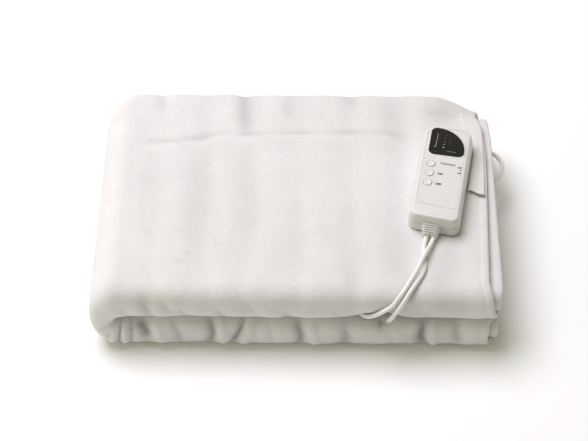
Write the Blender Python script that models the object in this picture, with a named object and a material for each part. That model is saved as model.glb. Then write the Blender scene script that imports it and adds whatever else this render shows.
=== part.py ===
"""Heated mattress pad, folded for storage, with its push-button controller and its two leads.

The pad is one fleece cloth, rolled flat into a strip of six layers. The strip is folded in half
over its left end. Metres, +Z up, +X along the strip, +Y from the front fold to the back.
"""

import math

import bmesh
import bpy
import numpy as np
from mathutils import Matrix, Vector

FIT = 0.0003  # between two pieces that touch

# The folded pad
PAD_LENGTH = 0.420  # X, from the left fold to the longest hem
PAD_DEPTH = 0.295  # Y
PAD_HEIGHT = 0.086  # Z
CLOTH = 0.0044  # thickness of the fleece
LATTICE = 0.00005  # its vertices lie on steps this wide, so that the underside is flat with straight edges
EDGE_GAP = 0.002  # between the two halves at the front and the back
LAYER_STEPS = 5  # pitches between the first and the last of the six layers
LEFT_REACH = 0.030  # from the left fold's centre to its outside, pressed flatter than round
SOFT_TURN = 0.8  # exponent of the superellipse that a turn of the cloth follows, on its outer side
TIGHT_TURN = 0.65  # on the side that faces the other half
BEND_FACETS = 8  # along the left fold
HALF_THICKNESS = (PAD_HEIGHT - EDGE_GAP) / 2
PITCH = (HALF_THICKNESS - CLOTH) / LAYER_STEPS
LEFT_CENTRE = -PAD_LENGTH / 2 + LEFT_REACH

# Turns of the cloth, from its outer raw end inwards: side, centre (share of the way from the
# first layer to the last), facets
TURNS = (
    ("front", 0.5, 10),
    ("back", 0.6, 8),
    ("front", 0.5, 6),
    ("back", 0.6, 6),
    ("front", 0.5, 4),
)
RUN_STATIONS = (0.0, 0.16, 0.36, 0.62, 0.84, 1.0)  # along each layer, front to back
RAW_END = 0.97  # where the two raw ends stop on their runs
LENGTH_STATIONS = (1.0, 0.955, 0.89, 0.815, 0.75, 0.72, 0.68, 0.64, 0.6, 0.47, 0.35, 0.22, 0.09)

# Where the hems stop at the right: run of the cloth (its turns lie between whole numbers), x
UPPER_HEMS = ((0, 0.2085), (0.5, 0.2015), (1, 0.1955), (2, 0.2070), (3, 0.2098), (4, 0.2080), (5, 0.2090))
LOWER_HEMS = (
    (0, 0.2045), (0.25, 0.1985), (0.7, 0.1975), (1, 0.2085), (2, 0.2070), (3, 0.2088), (4, 0.2060), (5, 0.2090),
)
TOP_BULGE = ((0.0, 0.0), (0.72, 0.0070), (0.88, 0.0050), (1.0, 0.0))  # of the top layer's hem, along its run

# Hollows between the halves: x from, x to, x ramp, y from, y to, y ramp, floor drop, ceiling rise
HOLLOWS = {
    "coil and plug": (-0.088, 0.088, 0.045, -0.040, 0.088, 0.040, 0.0068, 0.0072),
    "lead's way in": (0.034, 0.078, 0.020, -0.100, -0.060, 0.026, 0.0045, 0.0050),
    "front mouth": (0.074, 0.092, 0.022, -0.200, -0.060, 0.045, 0.0020, 0.0095),
    "inner passage": (0.090, 0.160, 0.040, -0.115, 0.095, 0.030, 0.0030, 0.0030),
    "right mouth": (0.150, 0.300, 0.040, -0.058, 0.110, 0.030, 0.0022, 0.0038),
}
CORNER_FROM = (0.150, 0.085)  # x and y where the back right corner starts to droop
CORNER_RAMP = (0.058, 0.050)
CORNER_FLOOR_DROP = 0.008
CORNER_TOP_DROP = 0.019
CORNER_INSET = 0.010
LEFT_CORNER_INSET = 0.016  # of the back left corner, which is rounded in plan
LEFT_CORNER = (-0.212, 0.045)

# Controller, in its own frame: x across, y towards its far end, z up from the cloth
CONTROLLER_PLACE = (0.1519, 0.0030)
CONTROLLER_TURN = math.radians(-9.5)
CASE_WIDTH = 0.054
CASE_LENGTH = 0.134
CASE_HEIGHT = 0.024
CASE_SPLIT = 0.0115
CASE_WALL = 0.0022
NEAR_SLANT = 0.07  # of the near end, out towards its right
FAR_CORNER = 0.015
NEAR_CORNER = 0.010
CORNER_FACETS = 7
BUTTON_X = -0.0127
BUTTON_Y = (0.0085, -0.0050, -0.0185)
BUTTON_RADIUS = 0.0045
BUTTON_STANDS = 0.0007  # above the face
BUTTON_FLANGE = 0.0010
WINDOW_LEFT = -0.0175
WINDOW_NEAR = 0.0222
WINDOW_ARC_CENTRE = (-0.0114, 0.0306)
WINDOW_ARC_RADIUS = 0.0310
WINDOW_CORNER = 0.0065
WINDOW_DEPTH = 0.0012

# Strain relief, on the case's near end
RELIEF_X = -0.0022
RELIEF_HEIGHT = 0.0095  # of its middle, where it leaves the case
RELIEF_END_HEIGHT = 0.0055
RELIEF_ROOT = 0.0095  # inside the case
RELIEF_LENGTH = 0.0104  # outside it
RELIEF_START = (0.0195, 0.0112)  # width and height at the case
RELIEF_END = (0.0148, 0.0074)
RELIEF_GROOVE = 0.0007
RELIEF_RIBS = 6

# Strap, along the right edge of the top: y, how much nearer its right edge is, left edge,
# right edge, lift off the cloth
STRAP_THICKNESS = 0.0018
STRAP_SECTIONS = (
    (-0.0060, 0.0070, 0.1795, 0.1965, 0.0040),
    (0.0010, 0.0062, 0.1806, 0.1970, 0.0026),
    (0.0100, 0.0048, 0.1822, 0.1976, 0.0012),
    (0.0220, 0.0030, 0.1842, 0.1984, 0.0004),
    (0.0360, 0.0012, 0.1864, 0.1990, 0.0004),
    (0.0500, 0.0, 0.1882, 0.1995, 0.0004),
    (0.0580, 0.0, 0.1884, 0.1997, 0.0004),
    (0.0650, 0.0, 0.1860, 0.1997, 0.0004),
    (0.0730, 0.0, 0.1815, 0.1996, 0.0006),
    (0.0840, 0.0, 0.1790, 0.1990, 0.0009),
    (0.0950, 0.0, 0.1780, 0.1975, 0.0013),
    (0.1050, 0.0, 0.1778, 0.1950, 0.0017),
    (0.1150, 0.0, 0.1780, 0.1920, 0.0020),
)
STRAP_FACETS = 6

# Leads
CORD = 0.0046
CORD_SIDES = 3  # bevel_resolution
CORD_SPACING = 0.0047  # between turns of the coil
CORD_REST = 0.0012  # clear of the cloth, whose facets differ from its curve
COIL_CENTRE = (-0.018, 0.008)
COIL_INNER = 0.0185  # radius of the innermost turn
COIL_TURNS_A_LAYER = 4
COIL_OUTER = COIL_INNER + COIL_TURNS_A_LAYER * CORD_SPACING
COIL_CLEAR = 0.0006

# Plug: flat two-pin, lying in the hollow
PLUG_X = 0.062
PLUG_BACK_Y = 0.030
PLUG_LENGTH = 0.036
PLUG_WIDTH = 0.035
PLUG_HEIGHT = 0.0137
PLUG_NOSE_WIDTH = 0.026
SLEEVE_LENGTH = 0.014
SLEEVE_RADIUS = 0.0042
PIN_SPACING = 0.019
PIN_LENGTH = 0.019
PIN_RADIUS = 0.002

# Routes: x, y, z. z None lies on the cloth between the halves.
MAINS_ROUTE = (
    (0.1407, -0.0749, 0.0918),
    (0.1370, -0.0840, 0.0916),
    (0.1327, -0.0940, 0.0934),
    (0.1278, -0.1064, 0.0943),
    (0.1225, -0.1181, 0.0932),
    (0.1164, -0.1290, 0.0909),
    (0.1102, -0.1389, 0.0875),
    (0.1035, -0.1461, 0.0815),
    (0.0978, -0.1502, 0.0753),
    (0.0915, -0.1507, 0.0691),
    (0.0852, -0.1499, 0.0629),
    (0.0790, -0.1480, 0.0567),
    (0.0728, -0.1441, 0.0515),
    (0.0672, -0.1372, 0.0476),
    (0.0622, -0.1265, 0.0452),
    (0.0575, -0.1120, None),
    (0.0515, -0.0930, None),
    (0.0440, -0.0740, None),
    (0.0345, -0.0555, None),
    (0.0200, -0.0390, None),
    (0.0006, -0.0294, None),
)
PAD_LEAD_ROUTE = (
    (0.1333, -0.0732, 0.0918),
    (0.1310, -0.0840, 0.0893),
    (0.1302, -0.0953, 0.0887),
    (0.1309, -0.1082, 0.0887),
    (0.1278, -0.1200, 0.0887),
    (0.1216, -0.1315, 0.0887),
    (0.1150, -0.1420, 0.0866),
    (0.1076, -0.1504, 0.0775),
    (0.1010, -0.1530, 0.0665),
    (0.0962, -0.1519, 0.0560),
    (0.0948, -0.1475, 0.0495),
    (0.0958, -0.1412, 0.0458),
    (0.0995, -0.1325, 0.0442),
    (0.1050, -0.1215, None),
    (0.1140, -0.1115, None),
    (0.1285, -0.1010, None),
    (0.1460, -0.0895, None),
    (0.1650, -0.0765, None),
    (0.1835, -0.0630, None),
    (0.1978, -0.0525, None),
    (0.2070, -0.0448, None),
    (0.2126, -0.0374, None),
    (0.2138, -0.0292, None),
    (0.2102, -0.0220, None),
    (0.2018, -0.0148, None),
    (0.1930, -0.0040, None),
    (0.1890, 0.0105, None),
    (0.1920, 0.0255, None),
    (0.2020, 0.0378, None),
    (0.2132, 0.0485, None),
    (0.2216, 0.0610, None),
    (0.2246, 0.0750, None),
    (0.2200, 0.0885, None),
    (0.2085, 0.0970, None),
    (0.1935, 0.0985, None),
    (0.1790, 0.0940, None),
)
TAIL_ROUTE = (
    (0.0008, 0.0454, 0.0004),
    (0.0052, 0.0454, 0.0004),
    (0.0151, 0.0480, 0.0002),
    (0.0232, 0.0553, 0.0000),
    (0.0312, 0.0626, 0.0000),
    (0.0417, 0.0653, 0.0000),
    (0.0486, 0.0641, 0.0000),
    (0.0547, 0.0606, 0.0000),
    (0.0593, 0.0551, 0.0000),
    (0.0616, 0.0492, 0.0000),
    (0.0620, 0.0450, 0.0000),
)
POINT_SPACING = 0.0115  # along a lead


# Materials


def make_material(name, colour, roughness, metallic=0.0):
    made = bpy.data.materials.new(name)
    made.use_nodes = True
    shader = made.node_tree.nodes["Principled BSDF"]
    shader.inputs["Base Color"].default_value = (*colour, 1.0)
    shader.inputs["Roughness"].default_value = roughness
    shader.inputs["Metallic"].default_value = metallic
    return made


# Meshes


def add_object(name, vertices, faces, material, parent=None):
    """A mesh object with its faces turned outwards."""
    mesh = bpy.data.meshes.new(name)
    mesh.from_pydata([tuple(v) for v in vertices], [], faces)
    shape = bmesh.new()
    shape.from_mesh(mesh)
    bmesh.ops.recalc_face_normals(shape, faces=shape.faces)
    shape.to_mesh(mesh)
    shape.free()
    mesh.materials.append(material)
    mesh.shade_smooth()
    mesh.set_sharp_from_angle(angle=math.radians(35))
    obj = bpy.data.objects.new(name, mesh)
    bpy.context.scene.collection.objects.link(obj)
    obj.parent = parent
    return obj


def thick_sheet(grid, thickness):
    """Vertices and faces of a closed sheet around a grid of points on its middle surface."""
    along = np.gradient(grid, axis=0)
    across = np.gradient(grid, axis=1)
    normal = np.cross(along, across)
    normal /= np.linalg.norm(normal, axis=2, keepdims=True)
    rows, columns = grid.shape[:2]
    sides = [grid + normal * thickness / 2, grid - normal * thickness / 2]
    vertices = np.concatenate([side.reshape(-1, 3) for side in sides])
    index = np.arange(2 * rows * columns).reshape(2, rows, columns)
    faces = []
    for i in range(rows - 1):
        for j in range(columns - 1):
            for side in index:
                faces.append((side[i, j], side[i, j + 1], side[i + 1, j + 1], side[i + 1, j]))
    rim = (
        [(i, 0) for i in range(rows)]
        + [(rows - 1, j) for j in range(1, columns)]
        + [(i, columns - 1) for i in range(rows - 2, -1, -1)]
        + [(0, j) for j in range(columns - 2, 0, -1)]
    )
    for here, after in zip(rim, rim[1:] + rim[:1]):
        faces.append((index[0][here], index[0][after], index[1][after], index[1][here]))
    return vertices, [tuple(int(i) for i in face) for face in faces]


def loft(rings):
    """Vertices and faces of a closed solid through rings of equal count, capped at both ends."""
    count = len(rings[0])
    vertices = [point for ring in rings for point in ring]
    faces = [tuple(range(count)), tuple(range(len(vertices) - count, len(vertices)))]
    for k in range(len(rings) - 1):
        for i in range(count):
            after = (i + 1) % count
            low, high = k * count, (k + 1) * count
            faces.append((low + i, low + after, high + after, high + i))
    return vertices, faces


def cut(obj, cutter):
    """Takes the cutter out of the object, and hides the cutter."""
    modifier = obj.modifiers.new("cut_" + cutter.name, "BOOLEAN")
    modifier.operation = "DIFFERENCE"
    modifier.solver = "EXACT"
    modifier.object = cutter
    cutter.hide_render = True
    cutter.display_type = "WIRE"


# The folded pad


def smooth(value, start, ramp):
    """0 before start, 1 after start + ramp, with a soft S between."""
    share = np.clip((value - start) / ramp, 0.0, 1.0)
    return share * share * (3 - 2 * share)


def hollow_share(x, y, x_from, x_to, x_ramp, y_from, y_to, y_ramp):
    """1 inside the hollow and 0 outside it."""
    along = smooth(x, x_from - x_ramp, x_ramp) * (1 - smooth(x, x_to, x_ramp))
    across = smooth(y, y_from - y_ramp, y_ramp) * (1 - smooth(y, y_to, y_ramp))
    return along * across


def corner_share(x, y):
    """1 at the drooping back right corner."""
    return smooth(x, CORNER_FROM[0], CORNER_RAMP[0]) * smooth(y, CORNER_FROM[1], CORNER_RAMP[1])


def floor_height(x, y):
    """Top of the lower half."""
    drops = [drop * hollow_share(x, y, *box) for *box, drop, _ in HOLLOWS.values()]
    return HALF_THICKNESS - np.max(drops, axis=0) - CORNER_FLOOR_DROP * corner_share(x, y)


def ceiling_height(x, y):
    """Underside of the upper half."""
    rises = [rise * hollow_share(x, y, *box) for *box, _, rise in HOLLOWS.values()]
    fall = CORNER_FLOOR_DROP * corner_share(x, y)
    return HALF_THICKNESS + EDGE_GAP + np.max(rises, axis=0) - fall


def top_height(x, y):
    return PAD_HEIGHT - CORNER_TOP_DROP * corner_share(x, y)


def turn_points(side, centre, layer, facets, run):
    """Section rows of one turn: share of the run, reach past it, layer, run."""
    reach = abs(layer - centre) * LAYER_STEPS * PITCH
    rows = []
    for k in range(1, facets):
        angle = math.pi * k / facets
        height = (layer - centre) * math.cos(angle)
        power = SOFT_TURN if height > 0 else TIGHT_TURN
        rise = math.copysign(abs(math.cos(angle)) ** power, height) * abs(layer - centre)
        out = reach * math.sin(angle) ** power
        share, sign = (0.0, -1.0) if side == "front" else (1.0, 1.0)
        rows.append((share, sign * out, centre + rise, run + k / facets))
    return rows


def section_rows():
    """The cloth's way through its layers: share of the run, reach past it, layer (0 to 1), run (0 to 5)."""
    layer = 0.0
    inwards = [RAW_END if share == 1.0 else share for share in RUN_STATIONS]
    rows = [(share, 0.0, layer, 0) for share in reversed(inwards)]
    for run, (side, centre, facets) in enumerate(TURNS):
        rows += turn_points(side, centre, layer, facets, run)
        layer = 2 * centre - layer
        stations = RUN_STATIONS if side == "front" else tuple(reversed(RUN_STATIONS))
        rows += [(share, 0.0, layer, run + 1) for share in stations]
    last = len(RUN_STATIONS)
    return rows[:-last] + [(share, 0.0, layer, len(TURNS)) for share in inwards]


def section_y(x, share, reach):
    front = -PAD_DEPTH / 2 + LAYER_STEPS / 2 * PITCH + CLOTH / 2
    inset = CORNER_INSET * smooth(x, CORNER_FROM[0], CORNER_RAMP[0])
    inset += LEFT_CORNER_INSET * (1 - smooth(x, *LEFT_CORNER))
    back = PAD_DEPTH / 2 - inset - 2 * PITCH - CLOTH / 2
    return front + share * (back - front) + reach


def half_point(hems, upper, along, share, reach, layer, run):
    """A point of the cloth's middle in the straight upper or lower half."""
    hem = np.interp(run, *zip(*hems))
    if upper and run == 1:
        hem += np.interp(share, *zip(*TOP_BULGE))
    x = LEFT_CENTRE + along * (hem - LEFT_CENTRE)
    y = section_y(x, share, reach)
    if upper:
        inner = ceiling_height(x, y) + CLOTH / 2
        outer = top_height(x, y) - CLOTH / 2
    else:
        inner = floor_height(x, y) - CLOTH / 2
        outer = CLOTH / 2
    return x, y, inner + layer * (outer - inner)


def bend_point(angle, share, reach, layer, _run):
    """A point of the cloth's middle in the left fold, angle from +90 degrees (top) to -90."""
    inner = (EDGE_GAP + CLOTH) / 2
    radius_x = inner + layer * (LEFT_REACH - EDGE_GAP / 2 - CLOTH)
    radius_z = inner + layer * (HALF_THICKNESS - CLOTH)
    x = LEFT_CENTRE - radius_x * math.cos(angle)
    z = PAD_HEIGHT / 2 + radius_z * math.sin(angle)
    return x, section_y(x, share, reach), z


def pad_grid():
    rows = section_rows()
    grid = []
    for along in LENGTH_STATIONS:
        grid.append([half_point(UPPER_HEMS, True, along, *row) for row in rows])
    for k in range(BEND_FACETS + 1):
        angle = math.pi / 2 - math.pi * k / BEND_FACETS
        grid.append([bend_point(angle, *row) for row in rows])
    for along in reversed(LENGTH_STATIONS):
        grid.append([half_point(LOWER_HEMS, False, along, *row) for row in rows])
    return np.array(grid, float)


def make_pad(material):
    vertices, faces = thick_sheet(pad_grid(), CLOTH)
    add_object("pad", np.round(vertices / LATTICE) * LATTICE, faces, material)


def make_strap(material):
    grid = []
    for y, nearer, left, right, lift in STRAP_SECTIONS:
        xs = np.linspace(left, right, STRAP_FACETS + 1)
        ys = y - nearer * (xs - left) / (right - left)
        heights = top_height(xs, ys) + FIT + lift + STRAP_THICKNESS / 2
        grid.append(list(zip(xs, ys, heights)))
    add_object("corner_strap", *thick_sheet(np.array(grid), STRAP_THICKNESS), material)


# Controller


def slanted(x, y):
    """The point, moved with the slant of the case's near end."""
    return x, y - NEAR_SLANT * x * float(smooth(-y, 0.020, 0.040))


def case_ring(inset, end_inset, z):
    """A level ring: the case's rounded outline, drawn in by an inset at its sides and one at its ends."""
    half_width, half_length = CASE_WIDTH / 2 - inset, CASE_LENGTH / 2 - end_inset
    corners = (
        (1, 1, FAR_CORNER, 0),
        (-1, 1, FAR_CORNER, 90),
        (-1, -1, NEAR_CORNER, 180),
        (1, -1, NEAR_CORNER, 270),
    )
    ring = []
    for side_x, side_y, radius, start in corners:
        radius = max(radius - inset, 0.002)
        for k in range(CORNER_FACETS + 1):
            angle = math.radians(start + 90 * k / CORNER_FACETS)
            x = side_x * (half_width - radius) + radius * math.cos(angle)
            y = side_y * (half_length - radius) + radius * math.sin(angle)
            ring.append((*slanted(x, y), z))
    return ring


def make_base(material, frame):
    """Lower shell: a tray, open at the top."""
    rows = (
        (0.0030, 0.0030, 0.0),
        (0.0012, 0.0012, 0.0006),
        (0.0002, 0.0002, 0.0026),
        (0.0, 0.0, 0.0080),
        (0.0003, 0.0001, CASE_SPLIT),
        (CASE_WALL + 0.0003, CASE_WALL, CASE_SPLIT),
        (CASE_WALL, CASE_WALL, 0.0040),
        (CASE_WALL + 0.0018, CASE_WALL + 0.0018, CASE_WALL),
    )
    return add_object("controller_base", *loft([case_ring(*row) for row in rows]), material, frame)


def make_cover(material, frame):
    """Upper shell: a lid with a rounded shoulder, open at the bottom."""
    face, ceiling = CASE_HEIGHT, CASE_HEIGHT - CASE_WALL
    rim = CASE_SPLIT + FIT
    rows = (
        (CASE_WALL + 0.0034, CASE_WALL + 0.0018, ceiling),
        (CASE_WALL + 0.0022, CASE_WALL + 0.0010, ceiling - 0.0014),
        (CASE_WALL + 0.0012, CASE_WALL + 0.0006, rim + 0.0050),
        (CASE_WALL + 0.0006, CASE_WALL + 0.0004, rim),
        (0.0004, 0.0002, rim),
        (0.0010, 0.0004, rim + 0.0060),
        (0.0018, 0.0007, face - 0.0034),
        (0.0026, 0.0010, face - 0.0016),
        (0.0035, 0.0016, face - 0.0004),
        (0.0046, 0.0026, face),
    )
    return add_object("controller_cover", *loft([case_ring(*row) for row in rows]), material, frame)


def arc(centre, radius, start, end, facets):
    angles = [math.radians(start + (end - start) * k / facets) for k in range(facets + 1)]
    return [(centre[0] + radius * math.cos(a), centre[1] + radius * math.sin(a)) for a in angles]


def window_outline(grow):
    """The display's outline: straight left and near sides, and one wide arc."""
    centre_x, centre_y = WINDOW_ARC_CENTRE
    corner = WINDOW_CORNER + grow
    left, near = WINDOW_LEFT - grow, WINDOW_NEAR - grow
    reach = WINDOW_ARC_RADIUS + grow
    small_far = (centre_x, centre_y + reach - (centre_x - left))
    near_right = (centre_x + reach - corner, near + corner)
    outline = arc((centre_x, centre_y), reach, 0, 90, 12)
    outline += arc(small_far, centre_x - left, 90, 180, 6)[1:]
    outline += arc((left + corner, near + corner), corner, 180, 270, 5)
    outline += arc(near_right, corner, 270, 360, 5)[:-1]
    return outline


def prism(outline, low, high):
    return loft([[(x, y, z) for x, y in outline] for z in (low, high)])


def disc_rings(rows, facets):
    """Level circles around z, from rows of radius and height."""
    turn = [2 * math.pi * k / facets for k in range(facets)]
    return [[(r * math.cos(a), r * math.sin(a), z) for a in turn] for r, z in rows]


def make_window(materials, frame, cover):
    floor = CASE_HEIGHT - WINDOW_DEPTH
    pocket = prism(window_outline(FIT), floor, CASE_HEIGHT + 0.002)
    cut(cover, add_object("window_cutter", *pocket, materials["glass"], frame))
    pane = prism(window_outline(0.0), floor + FIT, CASE_HEIGHT - 0.0001)
    add_object("display_window", *pane, materials["glass"], frame)


def make_button(number, y, materials, frame, cover):
    """A cap on a flange that stays under the face. Its origin is on its own axis."""
    underside = -CASE_WALL - FIT
    rows = (
        (0.0018, underside - BUTTON_FLANGE - 0.0030),
        (0.0018, underside - BUTTON_FLANGE),
        (BUTTON_RADIUS + 0.0007, underside - BUTTON_FLANGE),
        (BUTTON_RADIUS + 0.0007, underside),
        (BUTTON_RADIUS, underside),
        (BUTTON_RADIUS, BUTTON_STANDS - 0.0003),
        (BUTTON_RADIUS - 0.0004, BUTTON_STANDS),
    )
    button = add_object(f"button_{number}", *loft(disc_rings(rows, 28)), materials["shell"], frame)
    button.location = (BUTTON_X, y, CASE_HEIGHT)
    bore_rows = ((BUTTON_RADIUS + FIT, -0.006), (BUTTON_RADIUS + FIT, 0.003))
    bore = loft(disc_rings(bore_rows, 28))
    cutter = add_object(f"button_cutter_{number}", *bore, materials["shell"], frame)
    cutter.location = button.location
    cut(cover, cutter)


def relief_ring(share, inset):
    """An upright ring across the strain relief, share 0 at the case and 1 at its end."""
    width = RELIEF_START[0] + share * (RELIEF_END[0] - RELIEF_START[0]) - 2 * inset
    height = RELIEF_START[1] + share * (RELIEF_END[1] - RELIEF_START[1]) - 2 * inset
    radius = height * 0.42
    middle = RELIEF_HEIGHT + share**1.4 * (RELIEF_END_HEIGHT - RELIEF_HEIGHT)
    y = -CASE_LENGTH / 2 - FIT - share * RELIEF_LENGTH
    ring = []
    for side_x, side_z, start in ((1, 1, 0), (-1, 1, 90), (-1, -1, 180), (1, -1, 270)):
        for k in range(4):
            angle = math.radians(start + 90 * k / 3)
            x = RELIEF_X + side_x * (width / 2 - radius) + radius * math.cos(angle)
            z = middle + side_z * (height / 2 - radius) + radius * math.sin(angle)
            ring.append((*slanted(x, y), z))
    return ring


def make_relief(materials, frame, base, cover):
    """A ribbed, tapered boot, whose root is held in a slot across the two shells."""
    root_ring = []
    for x, y, z in relief_ring(0.0, 0.0):
        root_x = RELIEF_X + (x - RELIEF_X) * 0.7
        root_z = RELIEF_HEIGHT + (z - RELIEF_HEIGHT) * 0.55
        root_ring.append((root_x, y + NEAR_SLANT * (x - root_x), root_z))
    rings = [[(x, y + RELIEF_ROOT, z) for x, y, z in root_ring], root_ring]
    for k in range(RELIEF_RIBS):
        start = k / RELIEF_RIBS
        rings.append(relief_ring(start, 0.0))
        rings.append(relief_ring(start + 0.60 / RELIEF_RIBS, 0.0))
        rings.append(relief_ring(start + 0.68 / RELIEF_RIBS, RELIEF_GROOVE))
        rings.append(relief_ring(start + 0.92 / RELIEF_RIBS, RELIEF_GROOVE))
    rings.append(relief_ring(1.0, 0.0003))
    add_object("strain_relief", *loft(rings), materials["shell"], frame)
    slot = [
        [(RELIEF_X + sx * (RELIEF_START[0] * 0.35 + FIT), y, RELIEF_HEIGHT + sz * 0.0034)
         for sx, sz in ((1, 1), (-1, 1), (-1, -1), (1, -1))]
        for y in (-CASE_LENGTH / 2 + RELIEF_ROOT + FIT, -CASE_LENGTH / 2 - 0.004)
    ]
    for shell, name in ((base, "base_slot_cutter"), (cover, "cover_slot_cutter")):
        cut(shell, add_object(name, *loft(slot), materials["shell"], frame))


def make_controller(materials):
    frame = bpy.data.objects.new("controller_frame", None)
    bpy.context.scene.collection.objects.link(frame)
    frame.location = (*CONTROLLER_PLACE, PAD_HEIGHT + FIT)
    frame.rotation_euler = (0.0, 0.0, CONTROLLER_TURN)
    base = make_base(materials["shell"], frame)
    cover = make_cover(materials["shell"], frame)
    make_window(materials, frame, cover)
    for number, y in enumerate(BUTTON_Y, start=1):
        make_button(number, y, materials, frame, cover)
    make_relief(materials, frame, base, cover)


# Leads


def lay_route(route):
    """The route's points, with those on the cloth between the halves given their height."""
    placed = []
    for x, y, z in route:
        if z is None:
            z = float(floor_height(x, y)) + CORD / 2 + CORD_REST
        placed.append(Vector((x, y, z)))
    return placed


def smooth_curve(points, steps=24):
    """A fine line through the points, on a centripetal Catmull-Rom curve."""
    ends = [2 * points[0] - points[1], *points, 2 * points[-1] - points[-2]]
    line = []
    for p0, p1, p2, p3 in zip(ends, ends[1:], ends[2:], ends[3:]):
        t1 = (p1 - p0).length ** 0.5
        t2 = t1 + (p2 - p1).length ** 0.5
        t3 = t2 + (p3 - p2).length ** 0.5
        for k in range(steps):
            t = t1 + (t2 - t1) * k / steps
            a1 = p0.lerp(p1, t / t1)
            a2 = p1.lerp(p2, (t - t1) / (t2 - t1))
            a3 = p2.lerp(p3, (t - t2) / (t3 - t2))
            b1 = a1.lerp(a2, t / t2)
            b2 = a2.lerp(a3, (t - t1) / (t3 - t1))
            line.append(b1.lerp(b2, (t - t1) / (t2 - t1)))
    return line + [points[-1]]


def even_points(line, spacing):
    """Points along a fine line, a spacing apart."""
    lengths = [0.0]
    for here, after in zip(line, line[1:]):
        lengths.append(lengths[-1] + (after - here).length)
    count = max(2, round(lengths[-1] / spacing))
    marks = np.linspace(0.0, lengths[-1], count + 1)
    columns = [np.interp(marks, lengths, [p[axis] for p in line]) for axis in range(3)]
    return list(zip(*columns))


def make_tube(name, route, material):
    points = even_points(smooth_curve(route), POINT_SPACING)
    data = bpy.data.curves.new(name, "CURVE")
    data.dimensions = "3D"
    data.bevel_depth = CORD / 2
    data.bevel_resolution = CORD_SIDES
    data.use_fill_caps = True
    spline = data.splines.new("POLY")
    spline.points.add(len(points) - 1)
    for spot, point in zip(spline.points, points):
        spot.co = (*point, 1.0)
    data.materials.append(material)
    obj = bpy.data.objects.new(name, data)
    bpy.context.scene.collection.objects.link(obj)
    return obj


def hollow_floor():
    return float(floor_height(*COIL_CENTRE)) + COIL_CLEAR


def make_coil(material):
    """The outer shape of the wound lead: two layers of turns in a ring."""
    inner = COIL_INNER - CORD / 2
    outer = COIL_OUTER + CORD / 2
    low, high = hollow_floor(), hollow_floor() + CORD + CORD_SPACING
    soft = 0.0016
    profile = (
        (inner + soft, low),
        (outer - soft, low),
        (outer, low + soft),
        (outer, high - soft),
        (outer - soft, high),
        (inner + soft, high),
        (inner, high - soft),
        (inner, low + soft),
    )
    facets = 40
    vertices, faces = [], []
    for k in range(facets):
        angle = 2 * math.pi * k / facets
        for radius, z in profile:
            x = COIL_CENTRE[0] + radius * math.cos(angle)
            y = COIL_CENTRE[1] + radius * math.sin(angle)
            vertices.append((x, y, z))
    count = len(profile)
    for k in range(facets):
        after = (k + 1) % facets
        for i in range(count):
            j = (i + 1) % count
            faces.append((k * count + i, k * count + j, after * count + j, after * count + i))
    add_object("mains_coil", vertices, faces, material)


def plug_middle():
    return hollow_floor() - COIL_CLEAR + FIT + PLUG_HEIGHT / 2


def plug_ring(y, half_width, half_height):
    radius = half_height * 0.8
    ring = []
    for side_x, side_z, start in ((1, 1, 0), (-1, 1, 90), (-1, -1, 180), (1, -1, 270)):
        for k in range(4):
            angle = math.radians(start + 90 * k / 3)
            x = PLUG_X + side_x * (half_width - radius) + radius * math.cos(angle)
            z = plug_middle() + side_z * (half_height - radius) + radius * math.sin(angle)
            ring.append((x, y, z))
    return ring


def make_plug(materials):
    """Flat two-pin plug: a sleeve, a waisted body and its nose, and two pins off its face."""
    back, front = PLUG_BACK_Y, PLUG_BACK_Y - PLUG_LENGTH
    half_height = PLUG_HEIGHT / 2
    rings = [
        plug_ring(back + SLEEVE_LENGTH, SLEEVE_RADIUS * 0.80, SLEEVE_RADIUS * 0.78),
        plug_ring(back, SLEEVE_RADIUS, SLEEVE_RADIUS),
        plug_ring(back - 0.002, PLUG_NOSE_WIDTH / 2 - 0.003, half_height - 0.0008),
        plug_ring(back - 0.006, PLUG_NOSE_WIDTH / 2, half_height),
        plug_ring(back - 0.018, PLUG_NOSE_WIDTH / 2 - 0.001, half_height),
        plug_ring(front + 0.006, PLUG_WIDTH / 2, half_height),
        plug_ring(front, PLUG_WIDTH / 2, half_height),
    ]
    add_object("plug", *loft(rings), materials["shell"])
    for number, side in ((1, -1), (2, 1)):
        rows = (
            (PIN_RADIUS, front - FIT),
            (PIN_RADIUS, front - PIN_LENGTH + 0.001),
            (PIN_RADIUS - 0.0007, front - PIN_LENGTH),
        )
        x = PLUG_X + side * PIN_SPACING / 2
        turn = Matrix.Translation((x, 0.0, plug_middle())) @ Matrix.Rotation(-math.pi / 2, 4, "X")
        rings = [[turn @ Vector((px, py, -pz)) for px, py, pz in ring]
                 for ring in disc_rings([(r, -y) for r, y in rows], 16)]
        add_object(f"plug_pin_{number}", *loft(rings), materials["metal"])


def make_leads(materials):
    make_tube("mains_lead", lay_route(MAINS_ROUTE), materials["cord"])
    make_tube("pad_lead", lay_route(PAD_LEAD_ROUTE), materials["cord"])
    make_coil(materials["cord"])
    tail = [Vector((x, y, plug_middle() + lift)) for x, y, lift in TAIL_ROUTE]
    make_tube("mains_tail", tail, materials["cord"])
    make_plug(materials)


def main():
    for obj in list(bpy.data.objects):
        bpy.data.objects.remove(obj)
    materials = {
        "fleece": make_material("white_fleece", (0.86, 0.84, 0.82), 0.95),
        "strap": make_material("white_strap", (0.82, 0.80, 0.78), 0.9),
        "shell": make_material("white_plastic", (0.80, 0.80, 0.77), 0.45),
        "glass": make_material("black_display", (0.01, 0.01, 0.012), 0.12),
        "cord": make_material("white_cord", (0.78, 0.77, 0.74), 0.5),
        "metal": make_material("pin_metal", (0.72, 0.70, 0.66), 0.3, 1.0),
    }
    make_pad(materials["fleece"])
    make_strap(materials["strap"])
    make_controller(materials)
    make_leads(materials)


main()
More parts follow.
